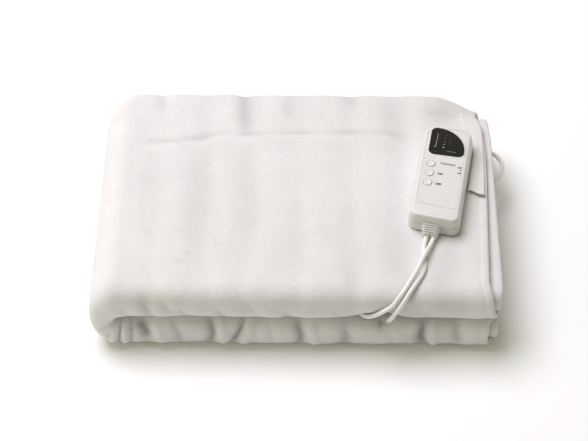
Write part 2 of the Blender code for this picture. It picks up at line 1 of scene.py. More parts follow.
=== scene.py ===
"""Looks of the folded heated mattress pad: its fleece, strap, controller and leads.

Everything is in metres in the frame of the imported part, +Z up, +X to the right, +Y away.
"""

import math

import bmesh
import bpy
import numpy as np
from mathutils import Matrix, Vector


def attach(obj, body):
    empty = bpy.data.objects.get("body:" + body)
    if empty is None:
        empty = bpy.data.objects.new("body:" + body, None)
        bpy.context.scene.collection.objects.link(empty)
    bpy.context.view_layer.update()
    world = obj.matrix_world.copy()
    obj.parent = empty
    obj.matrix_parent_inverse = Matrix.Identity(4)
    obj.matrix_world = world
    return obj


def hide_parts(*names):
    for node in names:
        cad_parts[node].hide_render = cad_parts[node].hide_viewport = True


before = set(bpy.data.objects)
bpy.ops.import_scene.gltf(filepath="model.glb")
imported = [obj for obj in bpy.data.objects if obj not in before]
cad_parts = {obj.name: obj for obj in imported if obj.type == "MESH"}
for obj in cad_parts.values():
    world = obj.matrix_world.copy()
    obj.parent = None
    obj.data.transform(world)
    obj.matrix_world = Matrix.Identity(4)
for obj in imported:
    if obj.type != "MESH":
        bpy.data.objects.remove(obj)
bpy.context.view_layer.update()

FIT = 0.0003  # gap between pieces that meet

# The folded pad, as in the frame
PAD_LENGTH = 0.420
PAD_DEPTH = 0.295
PAD_HEIGHT = 0.086
CLOTH = 0.0044
EDGE_GAP = 0.002
LAYER_STEPS = 5
LEFT_REACH = 0.030
SOFT_TURN = 0.8
TIGHT_TURN = 0.65
HALF_THICKNESS = (PAD_HEIGHT - EDGE_GAP) / 2
PITCH = (HALF_THICKNESS - CLOTH) / LAYER_STEPS
LEFT_CENTRE = -PAD_LENGTH / 2 + LEFT_REACH
FRONT = -PAD_DEPTH / 2
# Hems at the right: run of the cloth, x
UPPER_HEMS = ((0, 0.2085), (0.5, 0.2015), (1, 0.1955), (2, 0.2070), (3, 0.2098), (4, 0.2080), (5, 0.2090))
LOWER_HEMS = (
    (0, 0.2045), (0.25, 0.1985), (0.7, 0.1975), (1, 0.2085),
    (2, 0.2070), (3, 0.2088), (4, 0.2060), (5, 0.2090),
)
# The top layer's hem stands out further: share of the way back, distance
TOP_BULGE = ((0.0, 0.0), (0.72, 0.0070), (0.88, 0.0050), (1.0, 0.0))
RAW_END = 0.97
CORNER_FROM = (0.150, 0.085)  # where the drooping corner at the back right starts
CORNER_RAMP = (0.058, 0.050)
CORNER_FLOOR_DROP = 0.008
CORNER_TOP_DROP = 0.019
CORNER_INSET = 0.010
LEFT_CORNER_INSET = 0.016
LEFT_CORNER = (-0.212, 0.045)  # x and ramp over which it is drawn in

# Hollows between the halves: x from, x to, x ramp, y from, y to, y ramp, floor drop, ceiling rise
HOLLOWS = {
    "coil and plug": (-0.088, 0.088, 0.045, -0.040, 0.088, 0.040, 0.0068, 0.0072),
    "lead's way in": (0.034, 0.078, 0.020, -0.100, -0.060, 0.026, 0.0045, 0.0050),
    "front mouth": (0.074, 0.092, 0.022, -0.200, -0.060, 0.045, 0.0020, 0.0095),
    "inner passage": (0.090, 0.160, 0.040, -0.115, 0.095, 0.030, 0.0030, 0.0030),
    "right mouth": (0.150, 0.300, 0.040, -0.058, 0.110, 0.030, 0.0022, 0.0038),
}

# Controller
CONTROLLER_PLACE = (0.1519, 0.0030)
CONTROLLER_TURN = math.radians(-9.5)
CASE_WIDTH = 0.054
CASE_LENGTH = 0.134
CASE_HEIGHT = 0.024
CASE_SPLIT = 0.0115
CASE_WALL = 0.0022
NEAR_SLANT = 0.07
FAR_CORNER = 0.015
NEAR_CORNER = 0.010
BUTTON_X = -0.0127
BUTTON_Y = (0.0085, -0.0050, -0.0185)
BUTTON_RADIUS = 0.0045
BUTTON_STANDS = 0.0007
WINDOW_LEFT = -0.0175
WINDOW_NEAR = 0.0222
WINDOW_ARC_CENTRE = (-0.0114, 0.0306)
WINDOW_ARC_RADIUS = 0.0310
WINDOW_CORNER = 0.0065
WINDOW_DEPTH = 0.0012
RELIEF_X = -0.0022
RELIEF_HEIGHT = 0.0095
RELIEF_END_HEIGHT = 0.0055
RELIEF_ROOT = 0.0095
RELIEF_LENGTH = 0.0104
RELIEF_START = (0.0195, 0.0112)
RELIEF_END = (0.0148, 0.0074)
RELIEF_RIBS = 5

# Leads
CORD = 0.0046
CORD_SPACING = 0.0047
CORD_REST = 0.0012
COIL_CENTRE = (-0.018, 0.008)
COIL_INNER = 0.0185
COIL_TURNS_A_LAYER = 4
COIL_OUTER = COIL_INNER + COIL_TURNS_A_LAYER * CORD_SPACING
COIL_CLEAR = 0.0006
COIL_POINTS_A_TURN = 16
PLUG_X = 0.062
PLUG_BACK_Y = 0.030
PLUG_LENGTH = 0.036
PLUG_WIDTH = 0.035
PLUG_HEIGHT = 0.0137
PLUG_NOSE_WIDTH = 0.026
SLEEVE_LENGTH = 0.014
SLEEVE_RADIUS = 0.0042
SLEEVE_RIBS = 5
PIN_SPACING = 0.019
PIN_LENGTH = 0.019
PIN_RADIUS = 0.002

# Routes: x, y, z. z None lies on the cloth between the halves, and the tail's z is above the plug's middle.
MAINS_ROUTE = (
    (0.1407, -0.0749, 0.0918), (0.1370, -0.0840, 0.0916), (0.1327, -0.0940, 0.0934),
    (0.1278, -0.1064, 0.0943), (0.1225, -0.1181, 0.0932), (0.1164, -0.1290, 0.0909),
    (0.1102, -0.1389, 0.0875), (0.1035, -0.1461, 0.0815), (0.0978, -0.1502, 0.0753),
    (0.0915, -0.1507, 0.0691), (0.0852, -0.1499, 0.0629), (0.0790, -0.1480, 0.0567),
    (0.0728, -0.1441, 0.0515), (0.0672, -0.1372, 0.0476), (0.0622, -0.1265, 0.0452),
    (0.0575, -0.1120, None), (0.0515, -0.0930, None), (0.0440, -0.0740, None),
    (0.0345, -0.0555, None), (0.0200, -0.0390, None), (0.0006, -0.0294, None),
)
PAD_LEAD_ROUTE = (
    (0.1333, -0.0732, 0.0918), (0.1310, -0.0840, 0.0893), (0.1302, -0.0953, 0.0887),
    (0.1309, -0.1082, 0.0887), (0.1278, -0.1200, 0.0887), (0.1216, -0.1315, 0.0887),
    (0.1150, -0.1420, 0.0866), (0.1076, -0.1504, 0.0775), (0.1010, -0.1530, 0.0665),
    (0.0962, -0.1519, 0.0560), (0.0948, -0.1475, 0.0495), (0.0958, -0.1412, 0.0458),
    (0.0995, -0.1325, 0.0442), (0.1050, -0.1215, None), (0.1140, -0.1115, None),
    (0.1285, -0.1010, None), (0.1460, -0.0895, None), (0.1650, -0.0765, None),
    (0.1835, -0.0630, None), (0.1978, -0.0525, None), (0.2070, -0.0448, None),
    (0.2126, -0.0374, None), (0.2138, -0.0292, None), (0.2102, -0.0220, None),
    (0.2018, -0.0148, None), (0.1930, -0.0040, None), (0.1890, 0.0105, None),
    (0.1920, 0.0255, None), (0.2020, 0.0378, None), (0.2132, 0.0485, None),
    (0.2216, 0.0610, None), (0.2246, 0.0750, None), (0.2200, 0.0885, None),
    (0.2085, 0.0970, None), (0.1935, 0.0985, None), (0.1790, 0.0940, None),
)
TAIL_ROUTE = (
    (0.0008, 0.0454, 0.0004), (0.0052, 0.0454, 0.0004), (0.0151, 0.0480, 0.0002),
    (0.0232, 0.0553, 0.0000), (0.0312, 0.0626, 0.0000), (0.0417, 0.0653, 0.0000),
    (0.0486, 0.0641, 0.0000), (0.0547, 0.0606, 0.0000), (0.0593, 0.0551, 0.0000),
    (0.0616, 0.0492, 0.0000), (0.0620, 0.0450, 0.0000),
)


# Materials


def new_material(name, colour, roughness, metallic=0.0):
    """A material with its shader, and the short way to add nodes to it."""
    made = bpy.data.materials.new(name)
    made.use_nodes = True
    shader = made.node_tree.nodes["Principled BSDF"]
    shader.inputs["Base Color"].default_value = (*colour, 1.0)
    shader.inputs["Roughness"].default_value = roughness
    shader.inputs["Metallic"].default_value = metallic
    return made, shader, Nodes(made.node_tree)


class Nodes:
    """Adds nodes to a tree and links them."""

    def __init__(self, tree):
        self.tree = tree

    def put(self, socket, value):
        """Links the socket to another one, or gives it the value."""
        if isinstance(value, bpy.types.NodeSocket):
            self.tree.links.new(value, socket)
        else:
            socket.default_value = value

    def add(self, kind, **inputs):
        node = self.tree.nodes.new(kind)
        for name, value in inputs.items():
            self.put(node.inputs[name.replace("_", " ")], value)
        return node

    def noise(self, scale, detail, rough):
        place = self.add("ShaderNodeTexCoord").outputs["Object"]
        node = self.add("ShaderNodeTexNoise", Vector=place, Scale=scale, Detail=detail, Roughness=rough)
        return node.outputs[0]

    def math(self, operation, a, b):
        node = self.tree.nodes.new("ShaderNodeMath")
        node.operation = operation
        self.put(node.inputs[0], a)
        self.put(node.inputs[1], b)
        return node.outputs[0]

    def range(self, value, low, high, to_low, to_high):
        node = self.add(
            "ShaderNodeMapRange", Value=value, From_Min=low, From_Max=high, To_Min=to_low, To_Max=to_high
        )
        return node.outputs[0]

    def mix(self, share, a, b):
        node = self.tree.nodes.new("ShaderNodeMix")
        node.data_type = "RGBA"
        for index, value in ((0, share), (6, a), (7, b)):
            self.put(node.inputs[index], value)
        return node.outputs[2]

    def bump(self, height, strength, distance, normal=None):
        node = self.add("ShaderNodeBump", Height=height, Strength=strength, Distance=distance)
        if normal is not None:
            self.put(node.inputs["Normal"], normal)
        return node.outputs["Normal"]

    def drift(self, shader, texture, low, high, start=0.3, end=0.7):
        """Lets the roughness drift between two values with a texture."""
        self.put(shader.inputs["Roughness"], self.range(texture, start, end, low, high))


def shaded(colour, factor):
    """The colour, darker or lighter, with its alpha."""
    return *(min(factor * value, 1.0) for value in colour), 1.0


def fleece(name, colour, nap=1.0):
    """Brushed needle-punched fleece: a short felted nap, with painted shade darkening it in its creases."""
    made, shader, nodes = new_material(name, colour, 0.96)
    clouds = nodes.noise(26.0, 3.0, 0.5)
    tufts = nodes.noise(210.0, 4.0, 0.62)
    fibres = nodes.noise(900.0, 3.0, 0.7)
    shade = nodes.math("ADD", nodes.math("MULTIPLY", clouds, 0.6), nodes.math("MULTIPLY", tufts, 0.4))
    share = nodes.range(shade, 0.35, 0.65, 0.0, 1.0)
    open_nap = nodes.mix(share, shaded(colour, 0.955), shaded(colour, 1.03))
    # Painted shade: the fleece is darkened towards half its colour in the troughs of its creases, as deep as
    # the pad's attribute says.
    crease_shade = nodes.add("ShaderNodeAttribute")
    crease_shade.attribute_name = "crease_shade"
    shown = nodes.mix(crease_shade.outputs["Fac"], open_nap, shaded(colour, 0.50))
    nodes.put(shader.inputs["Base Color"], shown)
    fuzz = nodes.bump(fibres, 0.45 * nap, 0.0007)
    nodes.put(shader.inputs["Normal"], nodes.bump(tufts, 0.42 * nap, 0.0017, fuzz))
    shader.inputs["Sheen Weight"].default_value = 0.25
    shader.inputs["Sheen Roughness"].default_value = 0.6
    shader.inputs["Specular IOR Level"].default_value = 0.1
    return made


def plastic(name, colour, roughness, grain=0.15):
    """Satin moulded plastic with a very fine spark-eroded grain."""
    made, shader, nodes = new_material(name, colour, roughness)
    grains = nodes.noise(2600.0, 2.0, 0.5)
    nodes.drift(shader, nodes.noise(60.0, 2.0, 0.5), roughness - 0.05, roughness + 0.06)
    nodes.put(shader.inputs["Normal"], nodes.bump(grains, grain, 0.0001))
    shader.inputs["IOR"].default_value = 1.48
    return made


def cord_plastic():
    """Soft PVC: smooth, faintly uneven, and lets a little light into it."""
    made, shader, nodes = new_material("cord_pvc", (0.80, 0.79, 0.76), 0.42)
    waves = nodes.noise(140.0, 2.0, 0.5)
    nodes.drift(shader, waves, 0.36, 0.5)
    nodes.put(shader.inputs["Normal"], nodes.bump(waves, 0.12, 0.0005))
    shader.inputs["Subsurface Weight"].default_value = 0.05
    shader.inputs["Subsurface Radius"].default_value = (0.002, 0.002, 0.002)
    return made


def display_glass():
    """Glossy black with faint smears."""
    made, shader, nodes = new_material("display_glass", (0.006, 0.006, 0.007), 0.08)
    nodes.drift(shader, nodes.noise(90.0, 3.0, 0.6), 0.06, 0.16, start=0.35)
    shader.inputs["Coat Weight"].default_value = 0.4
    shader.inputs["Coat Roughness"].default_value = 0.05
    return made


def ink(name, colour):
    """Printed ink, a little uneven."""
    made, shader, nodes = new_material(name, colour, 0.5)
    wear = nodes.noise(3000.0, 2.0, 0.5)
    nodes.put(shader.inputs["Base Color"], nodes.mix(wear, (*colour, 1.0), shaded(colour, 1.25)))
    return made


def plated_metal():
    made, shader, nodes = new_material("nickel_plate", (0.72, 0.70, 0.66), 0.28, 1.0)
    nodes.drift(shader, nodes.noise(800.0, 2.0, 0.5), 0.2, 0.36)
    return made


# Meshes


def add_object(name, data):
    obj = bpy.data.objects.new(name, data)
    bpy.context.scene.collection.objects.link(obj)
    return obj


def mesh_object(name, vertices, faces, material, sharp=40.0):
    mesh = bpy.data.meshes.new(name)
    mesh.from_pydata([tuple(v) for v in vertices], [], faces)
    shape = bmesh.new()
    shape.from_mesh(mesh)
    bmesh.ops.recalc_face_normals(shape, faces=shape.faces)
    shape.to_mesh(mesh)
    shape.free()
    mesh.materials.append(material)
    return smooth_by_angle(add_object(name, mesh), sharp)


def smooth_by_angle(obj, degrees=30.0):
    obj.data.shade_smooth()
    obj.data.set_sharp_from_angle(angle=math.radians(degrees))
    return obj


def combine(obj, name, solid, operation="DIFFERENCE"):
    """Cuts the solid from the object, or joins it to it."""
    other = mesh_object(name, *solid, obj.data.materials[0])
    modifier = obj.modifiers.new("combine", "BOOLEAN")
    modifier.operation = operation
    modifier.solver = "EXACT"
    modifier.object = other
    made = settled(obj)
    bpy.data.objects.remove(other)
    return made


def claim(obj, slot, *nodes, body="folded_pad"):
    """Says which body carries a piece and the nodes that it stands for; its material's slot is not used."""
    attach(obj, body)
    if nodes:
        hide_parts(*nodes)


def settled(obj):
    """The object with its modifiers, or its curve or text, turned into a plain mesh."""
    bpy.context.view_layer.update()
    graph = bpy.context.evaluated_depsgraph_get()
    mesh = bpy.data.meshes.new_from_object(obj.evaluated_get(graph), depsgraph=graph)
    mesh.transform(obj.matrix_world)
    name = obj.name
    bpy.data.objects.remove(obj)
    return add_object(name, mesh)


def bands(count, turns):
    """Faces between the rings of each pair of numbers, for rings of equal count."""
    faces = []
    for low, high in turns:
        for i in range(count):
            after = (i + 1) % count
            faces.append((low * count + i, low * count + after, high * count + after, high * count + i))
    return faces


def loft(rings):
    """Vertices and faces of a closed solid through rings of equal count, capped at both ends."""
    count = len(rings[0])
    vertices = [point for ring in rings for point in ring]
    caps = [tuple(range(count)), tuple(range(len(vertices) - count, len(vertices)))]
    return vertices, caps + bands(count, [(k, k + 1) for k in range(len(rings) - 1)])


def ring_solid(profiles):
    """Vertices and faces of a closed ring through outlines of equal count, given with their heights."""
    count = len(profiles[0][0])
    vertices = [point for outline, z in profiles for point in level(outline, z)]
    return vertices, bands(count, [(k, (k + 1) % len(profiles)) for k in range(len(profiles))])


def level(outline, z):
    return [(x, y, z) for x, y in outline]


def upright(outline, y):
    return [(x, y, z) for x, z in outline]


def prism(outline, low, high):
    return loft([level(outline, low), level(outline, high)])


def arc(centre, radius, start, end, facets):
    """Points of an arc, its first and last included."""
    angles = [math.radians(start + (end - start) * k / facets) for k in range(facets + 1)]
    return [(centre[0] + radius * math.cos(a), centre[1] + radius * math.sin(a)) for a in angles]


def circle(centre, radius, facets=48):
    return arc(centre, radius, 0, 360, facets)[:-1]


def rounded_outline(left, right, near, far, near_corner, far_corner, facets):
    """A rectangle with rounded corners, from its far right one."""
    corners = (
        (right, far, far_corner, 0, -1, -1),
        (left, far, far_corner, 90, 1, -1),
        (left, near, near_corner, 180, 1, 1),
        (right, near, near_corner, 270, -1, 1),
    )
    outline = []
    for x, y, radius, start, in_x, in_y in corners:
        outline += arc((x + in_x * radius, y + in_y * radius), radius, start, start + 90, facets)
    return outline


def sheet_mesh(grid, thickness):
    """Vertices and faces of a closed sheet around a grid of points, with a thickness at each."""
    normal = grid_normals(grid)
    half = thickness[..., None] / 2
    rows, columns = grid.shape[:2]
    vertices = np.concatenate([(grid + normal * half).reshape(-1, 3), (grid - normal * half).reshape(-1, 3)])
    index = np.arange(2 * rows * columns).reshape(2, rows, columns)
    faces = []
    for side in index:
        corners = (side[:-1, :-1], side[:-1, 1:], side[1:, 1:], side[1:, :-1])
        faces += np.stack(corners, axis=-1).reshape(-1, 4).tolist()
    rims = [np.concatenate([side[:, 0], side[-1, 1:], side[-2::-1, -1], side[0, -2:0:-1]]) for side in index]
    afters = [np.roll(rim, -1) for rim in rims]
    faces += np.stack([rims[0], afters[0], afters[1], rims[1]], axis=-1).tolist()
    return vertices, faces


def rounded_edge(distance, radius, least):
    """Share of the full thickness at a distance from the edge, which is a quarter circle."""
    return np.sqrt(np.clip(1 - (1 - np.clip(distance / radius, 0, 1)) ** 2, least, 1))


def grid_normals(grid):
    normal = np.cross(np.gradient(grid, axis=0), np.gradient(grid, axis=1))
    return normal / np.linalg.norm(normal, axis=2, keepdims=True)


# The folded pad: the frame's own fold, in finer steps and with its creases

# The cloth's turns: their side, the layer they go about, their facets
TURNS = (("front", 0.5, 28), ("back", 0.6, 14), ("front", 0.5, 8), ("back", 0.6, 6), ("front", 0.5, 6))
RUN_FACETS = (12, 66, 8, 8, 7, 7)  # rows of each layer, from the one that faces the other half
FRONT_CROWDING = 1.15  # how much closer together they are at the front
RAW_EDGE = 0.002  # from the raw end to the row before it, as a share of the run
# Lines of the grid near the hem, by their distance from it
HEM_STATIONS = (0.0, 0.0005, 0.0014, 0.0030, 0.0055, 0.0076, 0.0088, 0.0100, 0.0125, 0.0160)
STITCH_DEPTH = 0.0088  # from the hem to its stitches
LINE_SPACING = (0.0031, 0.0029)  # of the upper and the lower half
BEND_FACETS = 24
HEM_REACH = 0.390  # from the left fold's centre to the hems


def smooth(value, start, ramp):
    """0 up to the start, 1 beyond its ramp, and eased between them."""
    share = np.clip((value - start) / ramp, 0.0, 1.0)
    return share * share * (3 - 2 * share)


def hollow_share(x, y, x_from, x_to, x_ramp, y_from, y_to, y_ramp):
    along = smooth(x, x_from - x_ramp, x_ramp) * (1 - smooth(x, x_to, x_ramp))
    across = smooth(y, y_from - y_ramp, y_ramp) * (1 - smooth(y, y_to, y_ramp))
    return along * across


def corner_share(x, y):
    return smooth(x, CORNER_FROM[0], CORNER_RAMP[0]) * smooth(y, CORNER_FROM[1], CORNER_RAMP[1])


def floor_height(x, y):
    drops = [drop * hollow_share(x, y, *box) for *box, drop, _ in HOLLOWS.values()]
    return HALF_THICKNESS - np.max(drops, axis=0) - CORNER_FLOOR_DROP * corner_share(x, y)


def ceiling_height(x, y):
    rises = [rise * hollow_share(x, y, *box) for *box, _, rise in HOLLOWS.values()]
    fall = CORNER_FLOOR_DROP * corner_share(x, y)
    return HALF_THICKNESS + EDGE_GAP + np.max(rises, axis=0) - fall


def top_height(x, y):
    return PAD_HEIGHT - CORNER_TOP_DROP * corner_share(x, y)


def turn_rows(side, centre, layer, facets, run):
    angle = np.pi * np.arange(1, facets) / facets
    height = (layer - centre) * np.cos(angle)
    power = np.where(height > 0, SOFT_TURN, TIGHT_TURN)
    rise = np.sign(height) * np.abs(np.cos(angle)) ** power * abs(layer - centre)
    out = abs(layer - centre) * LAYER_STEPS * PITCH * np.sin(angle) ** power
    share, sign = (0.0, -1.0) if side == "front" else (1.0, 1.0)
    steps = enumerate(zip(out, rise), start=1)
    return [(share, sign * reach, centre + lift, run + k / facets) for k, (reach, lift) in steps]


def run_rows(facets, layer, run, raw=False):
    """A layer's rows, front to back, closer together towards the front."""
    share = np.linspace(0.0, 1.0, facets) ** FRONT_CROWDING
    if raw:
        share = np.concatenate([share[:-1] * RAW_END, [RAW_END - RAW_EDGE, RAW_END]])
    return [(s, 0.0, layer, run) for s in share]


def section_rows():
    """The cloth's way through its layers: share of the run, reach past it, layer (0 to 1), run (0 to 5)."""
    layer = 0.0
    rows = run_rows(RUN_FACETS[0], layer, 0, raw=True)[::-1]
    for number, ((side, centre, facets), run) in enumerate(zip(TURNS, RUN_FACETS[1:]), start=1):
        rows += turn_rows(side, centre, layer, facets, number - 1)
        layer = 2 * centre - layer
        steps = run_rows(run, layer, number, raw=number == len(TURNS))
        rows += steps if side == "front" else steps[::-1]
    return np.array(rows)


def section_y(x, share, reach):
    front = FRONT + LAYER_STEPS / 2 * PITCH + CLOTH / 2
    inset = CORNER_INSET * smooth(x, CORNER_FROM[0], CORNER_RAMP[0])
    inset = inset + LEFT_CORNER_INSET * (1 - smooth(x, *LEFT_CORNER))
    back = PAD_DEPTH / 2 - inset - 2 * PITCH - CLOTH / 2
    return front + share * (back - front) + reach


def half_points(hems, upper, along, rows):
    """Points of the cloth's middle in the straight upper or lower half."""
    share, reach, layer, run = rows.T[:, None, :]
    hem = np.interp(run, *zip(*hems))
    if upper:
        hem = hem + np.interp(share, *zip(*TOP_BULGE)) * (run == 1)
    x = LEFT_CENTRE + along[:, None] * (hem - LEFT_CENTRE)
    y = section_y(x, share, reach)
    if upper:
        inner = ceiling_height(x, y) + CLOTH / 2
        outer = top_height(x, y) - CLOTH / 2
    else:
        inner = floor_height(x, y) - CLOTH / 2
        outer = CLOTH / 2
    return np.stack([x, y, inner + layer * (outer - inner)], axis=-1)


def bend_points(angles, rows):
    """Points of the cloth's middle round the left end, where the halves join."""
    share, reach, layer, _ = rows.T[:, None, :]
    angle = angles[:, None]
    inner = (EDGE_GAP + CLOTH) / 2
    radius_x = inner + layer * (LEFT_REACH - EDGE_GAP / 2 - CLOTH)
    radius_z = inner + layer * (HALF_THICKNESS - CLOTH)
    x = LEFT_CENTRE - radius_x * np.cos(angle)
    z = PAD_HEIGHT / 2 + radius_z * np.sin(angle)
    return np.stack([x, section_y(x, share, reach) + 0 * z, z], axis=-1)


def edge_distances(spacing):
    """Distances from the right-hand hem: close together at the hem, then even."""
    count = round((HEM_REACH - HEM_STATIONS[-1]) / spacing)
    return np.concatenate([HEM_STATIONS, np.linspace(HEM_STATIONS[-1], HEM_REACH, count + 1)[1:-1]])


def pad_surface():
    """Grid of the cloth's middle, each line's distance from the nearer hem, and the section's rows."""
    rows = section_rows()
    upper, lower = (edge_distances(spacing) for spacing in LINE_SPACING)
    angles = np.pi / 2 - np.pi * np.arange(BEND_FACETS + 1) / BEND_FACETS
    grid = np.concatenate([
        half_points(UPPER_HEMS, True, 1 - upper / HEM_REACH, rows),
        bend_points(angles, rows),
        half_points(LOWER_HEMS, False, 1 - lower[::-1] / HEM_REACH, rows),
    ])
    edge = np.concatenate([upper, np.full(len(angles), HEM_REACH), lower[::-1]])
    return grid, edge, rows


# Creases of the outer layer: width and height (below 0 is a trough), and the points of each
TOP_CREASES = (  # points in x and y
    (0.0042, -0.0015, (-0.160, 0.066), (-0.128, 0.068), (-0.104, 0.073), (-0.077, 0.081)),
    (0.0040, -0.0014, (-0.079, 0.079), (-0.040, 0.079), (0.010, 0.082), (0.114, 0.083)),
    (0.0060, 0.0006, (-0.160, 0.057), (-0.104, 0.063), (-0.070, 0.071), (0.112, 0.074)),
    (0.0070, -0.0010, (-0.148, 0.150), (-0.147, 0.128), (-0.142, 0.112)),
    (0.0080, -0.0015, (-0.058, 0.152), (-0.056, 0.118), (-0.052, 0.080)),
    (0.0070, 0.0009, (-0.072, 0.150), (-0.070, 0.120), (-0.072, 0.096)),
    (0.0075, -0.0009, (-0.010, 0.132), (-0.008, 0.105)),
    (0.0090, -0.0011, (0.058, 0.152), (0.063, 0.120)),
    (0.0070, -0.0009, (0.139, 0.117), (0.158, 0.112), (0.178, 0.113)),
    (0.0055, -0.0008, (0.100, 0.079), (0.118, 0.074)),
    (0.0030, -0.0009, (-0.152, -0.060), (-0.149, -0.064)),
    (0.0028, -0.0008, (-0.092, 0.035), (-0.090, 0.031)),
    (0.0032, -0.0009, (-0.079, -0.077), (-0.077, -0.082)),
    (0.0030, -0.0008, (-0.112, -0.088), (-0.105, -0.094)),
    (0.0034, -0.0009, (-0.121, -0.101), (-0.114, -0.106)),
    (0.0090, 0.0005, (0.020, -0.020), (0.026, -0.060)),
)
FRONT_CREASES = (  # points in x and z
    # the upper fold's puckers
    (0.0060, -0.0014, (-0.176, 0.066), (-0.168, 0.052)),
    (0.0040, -0.0012, (-0.115, 0.062), (-0.110, 0.050)),
    (0.0055, 0.0009, (0.012, 0.066), (0.018, 0.052)),
    (0.0055, -0.0016, (-0.153, 0.074), (-0.148, 0.062), (-0.145, 0.050)),
    (0.0045, 0.0010, (-0.140, 0.072), (-0.137, 0.052)),
    (0.0045, -0.0014, (-0.131, 0.075), (-0.128, 0.064), (-0.122, 0.054)),
    (0.0070, 0.0008, (-0.100, 0.070), (-0.096, 0.056)),
    (0.0060, -0.0022, (-0.078, 0.064), (-0.074, 0.055), (-0.072, 0.046)),
    (0.0055, 0.0012, (-0.062, 0.070), (-0.055, 0.052)),
    (0.0045, -0.0010, (-0.046, 0.072), (-0.040, 0.056)),
    (0.0060, 0.0010, (-0.028, 0.068), (-0.024, 0.052)),
    (0.0055, -0.0020, (-0.011, 0.064), (-0.007, 0.048)),
    (0.0070, -0.0008, (0.036, 0.068), (0.046, 0.054)),
    (0.0045, -0.0020, (0.086, 0.062), (0.087, 0.046)),
    (0.0070, -0.0010, (0.128, 0.066), (0.134, 0.050)),
    # those drawn together at the lower fold's left corner
    (0.0030, 0.0022, (-0.183, 0.036), (-0.187, 0.006)),
    (0.0032, -0.0036, (-0.176, 0.039), (-0.179, 0.020), (-0.181, 0.005)),
    (0.0028, 0.0020, (-0.171, 0.035), (-0.174, 0.004)),
    (0.0030, -0.0030, (-0.166, 0.041), (-0.167, 0.022), (-0.168, 0.006)),
    (0.0030, -0.0018, (-0.184, 0.042), (-0.197, 0.033)),
    (0.0028, 0.0012, (-0.184, 0.038), (-0.196, 0.022)),
    (0.0030, -0.0022, (-0.183, 0.037), (-0.192, 0.016)),
    (0.0040, -0.0014, (-0.176, 0.047), (-0.160, 0.053)),
    # those down the lower fold
    (0.0062, -0.0048, (-0.157, 0.041), (-0.152, 0.030), (-0.150, 0.018)),
    (0.0045, 0.0024, (-0.140, 0.036), (-0.135, 0.010)),
    (0.0055, -0.0022, (-0.125, 0.040), (-0.118, 0.024), (-0.116, 0.008)),
    (0.0056, -0.0046, (-0.085, 0.041), (-0.082, 0.024), (-0.087, 0.002)),
    (0.0042, 0.0022, (-0.073, 0.036), (-0.072, 0.008)),
    (0.0044, -0.0046, (-0.050, 0.041), (-0.057, 0.024), (-0.067, 0.003)),
    (0.0042, 0.0026, (-0.043, 0.037), (-0.048, 0.020), (-0.053, 0.005)),
    (0.0055, -0.0018, (-0.026, 0.038), (-0.022, 0.010)),
    (0.0058, -0.0044, (0.003, 0.040), (0.007, 0.022), (0.005, 0.003)),
    (0.0032, 0.0026, (0.019, 0.036), (0.021, 0.006)),
    (0.0060, -0.0024, (0.048, 0.038), (0.054, 0.020), (0.050, 0.006)),
    (0.0042, -0.0030, (0.088, 0.042), (0.088, 0.033)),
    (0.0055, 0.0018, (0.104, 0.034), (0.108, 0.008)),
    (0.0062, -0.0060, (0.131, 0.040), (0.129, 0.022), (0.132, 0.003)),
    (0.0034, 0.0028, (0.143, 0.036), (0.141, 0.020), (0.142, 0.005)),
    (0.0055, -0.0020, (0.164, 0.038), (0.168, 0.012)),
)
SAG = 0.0035  # of the layers at the left end
WIRE_SPACING = 0.0515
WIRE_HEIGHT = 0.0004
DEEPEST_CREASE = 0.0045  # trough depth from which the painted crease shade is at its darkest


def crease_height(points, line, width, height):
    """Height of one soft crease at each point: strongest in its middle, fading at its ends."""
    ends = np.array(line)
    lengths = np.linalg.norm(np.diff(ends, axis=0), axis=1)
    starts = np.concatenate([[0.0], np.cumsum(lengths)])
    best = np.full(points.shape[:-1], 1e9)
    where = np.zeros(points.shape[:-1])
    for a, b, start, length in zip(ends, ends[1:], starts, lengths):
        along = np.clip(((points - a) @ (b - a)) / length**2, 0.0, 1.0)
        distance = np.linalg.norm(points - (a + along[..., None] * (b - a)), axis=-1)
        nearer = distance < best
        best = np.where(nearer, distance, best)
        where = np.where(nearer, (start + along * length) / starts[-1], where)
    fade = np.clip(4 * where, 0, 1) ** 0.7 * np.clip(4 * (1 - where), 0, 1) ** 0.7
    return height * (0.35 + 0.65 * fade) * np.exp(-((best / width) ** 2))


def outer_relief(grid):
    """How far the cloth's outer layer stands off its even fold."""
    x, y, z = grid[..., 0], grid[..., 1], grid[..., 2]
    relief = WIRE_HEIGHT * np.cos(2 * np.pi * (x + 0.024) / WIRE_SPACING)
    relief += 0.0005 * np.sin(21 * x + 13 * y + 0.6) * np.sin(17 * y - 9 * x + 1.1)
    on_top = smooth(z, 0.066, 0.012)
    for width, height, *line in TOP_CREASES:
        relief += on_top * crease_height(grid[..., :2], line, width, height)
    between_halves = np.exp(-(((z - 0.047) / 0.004) ** 2))
    in_front = smooth(-y, 0.110, 0.014) * smooth(z, 0.002, 0.010) * (1 - 0.7 * between_halves)
    relief += in_front * 0.0004 * np.sin(150 * x + 60 * z) * np.sin(95 * z - 70 * x + 0.8)
    for width, height, *line in FRONT_CREASES:
        relief += in_front * crease_height(grid[..., ::2], line, width, height)
    return relief


def outer_share(rows):
    """1 on the outer layer and its two turns, fading to 0 towards the layers inside."""
    start = RUN_FACETS[0] + 1
    end = start + TURNS[0][2] - 1 + RUN_FACETS[1] + TURNS[1][2] - 1
    return np.interp(np.arange(len(rows)), (start - 1, start + 4, end - 8, end - 1), (0.0, 1.0, 1.0, 0.0))


def hem_thickness(edge):
    """Thickness near the hem: rounded at the edge, a little more in the hem, pinched at its stitches."""
    doubled = 1 + 0.22 * (1 - smooth(edge, STITCH_DEPTH, 0.0016))
    pinched = 1 - 0.30 * np.exp(-(((edge - STITCH_DEPTH) / 0.0010) ** 2))
    return CLOTH * rounded_edge(edge, 0.0022, 0.06) * doubled * pinched


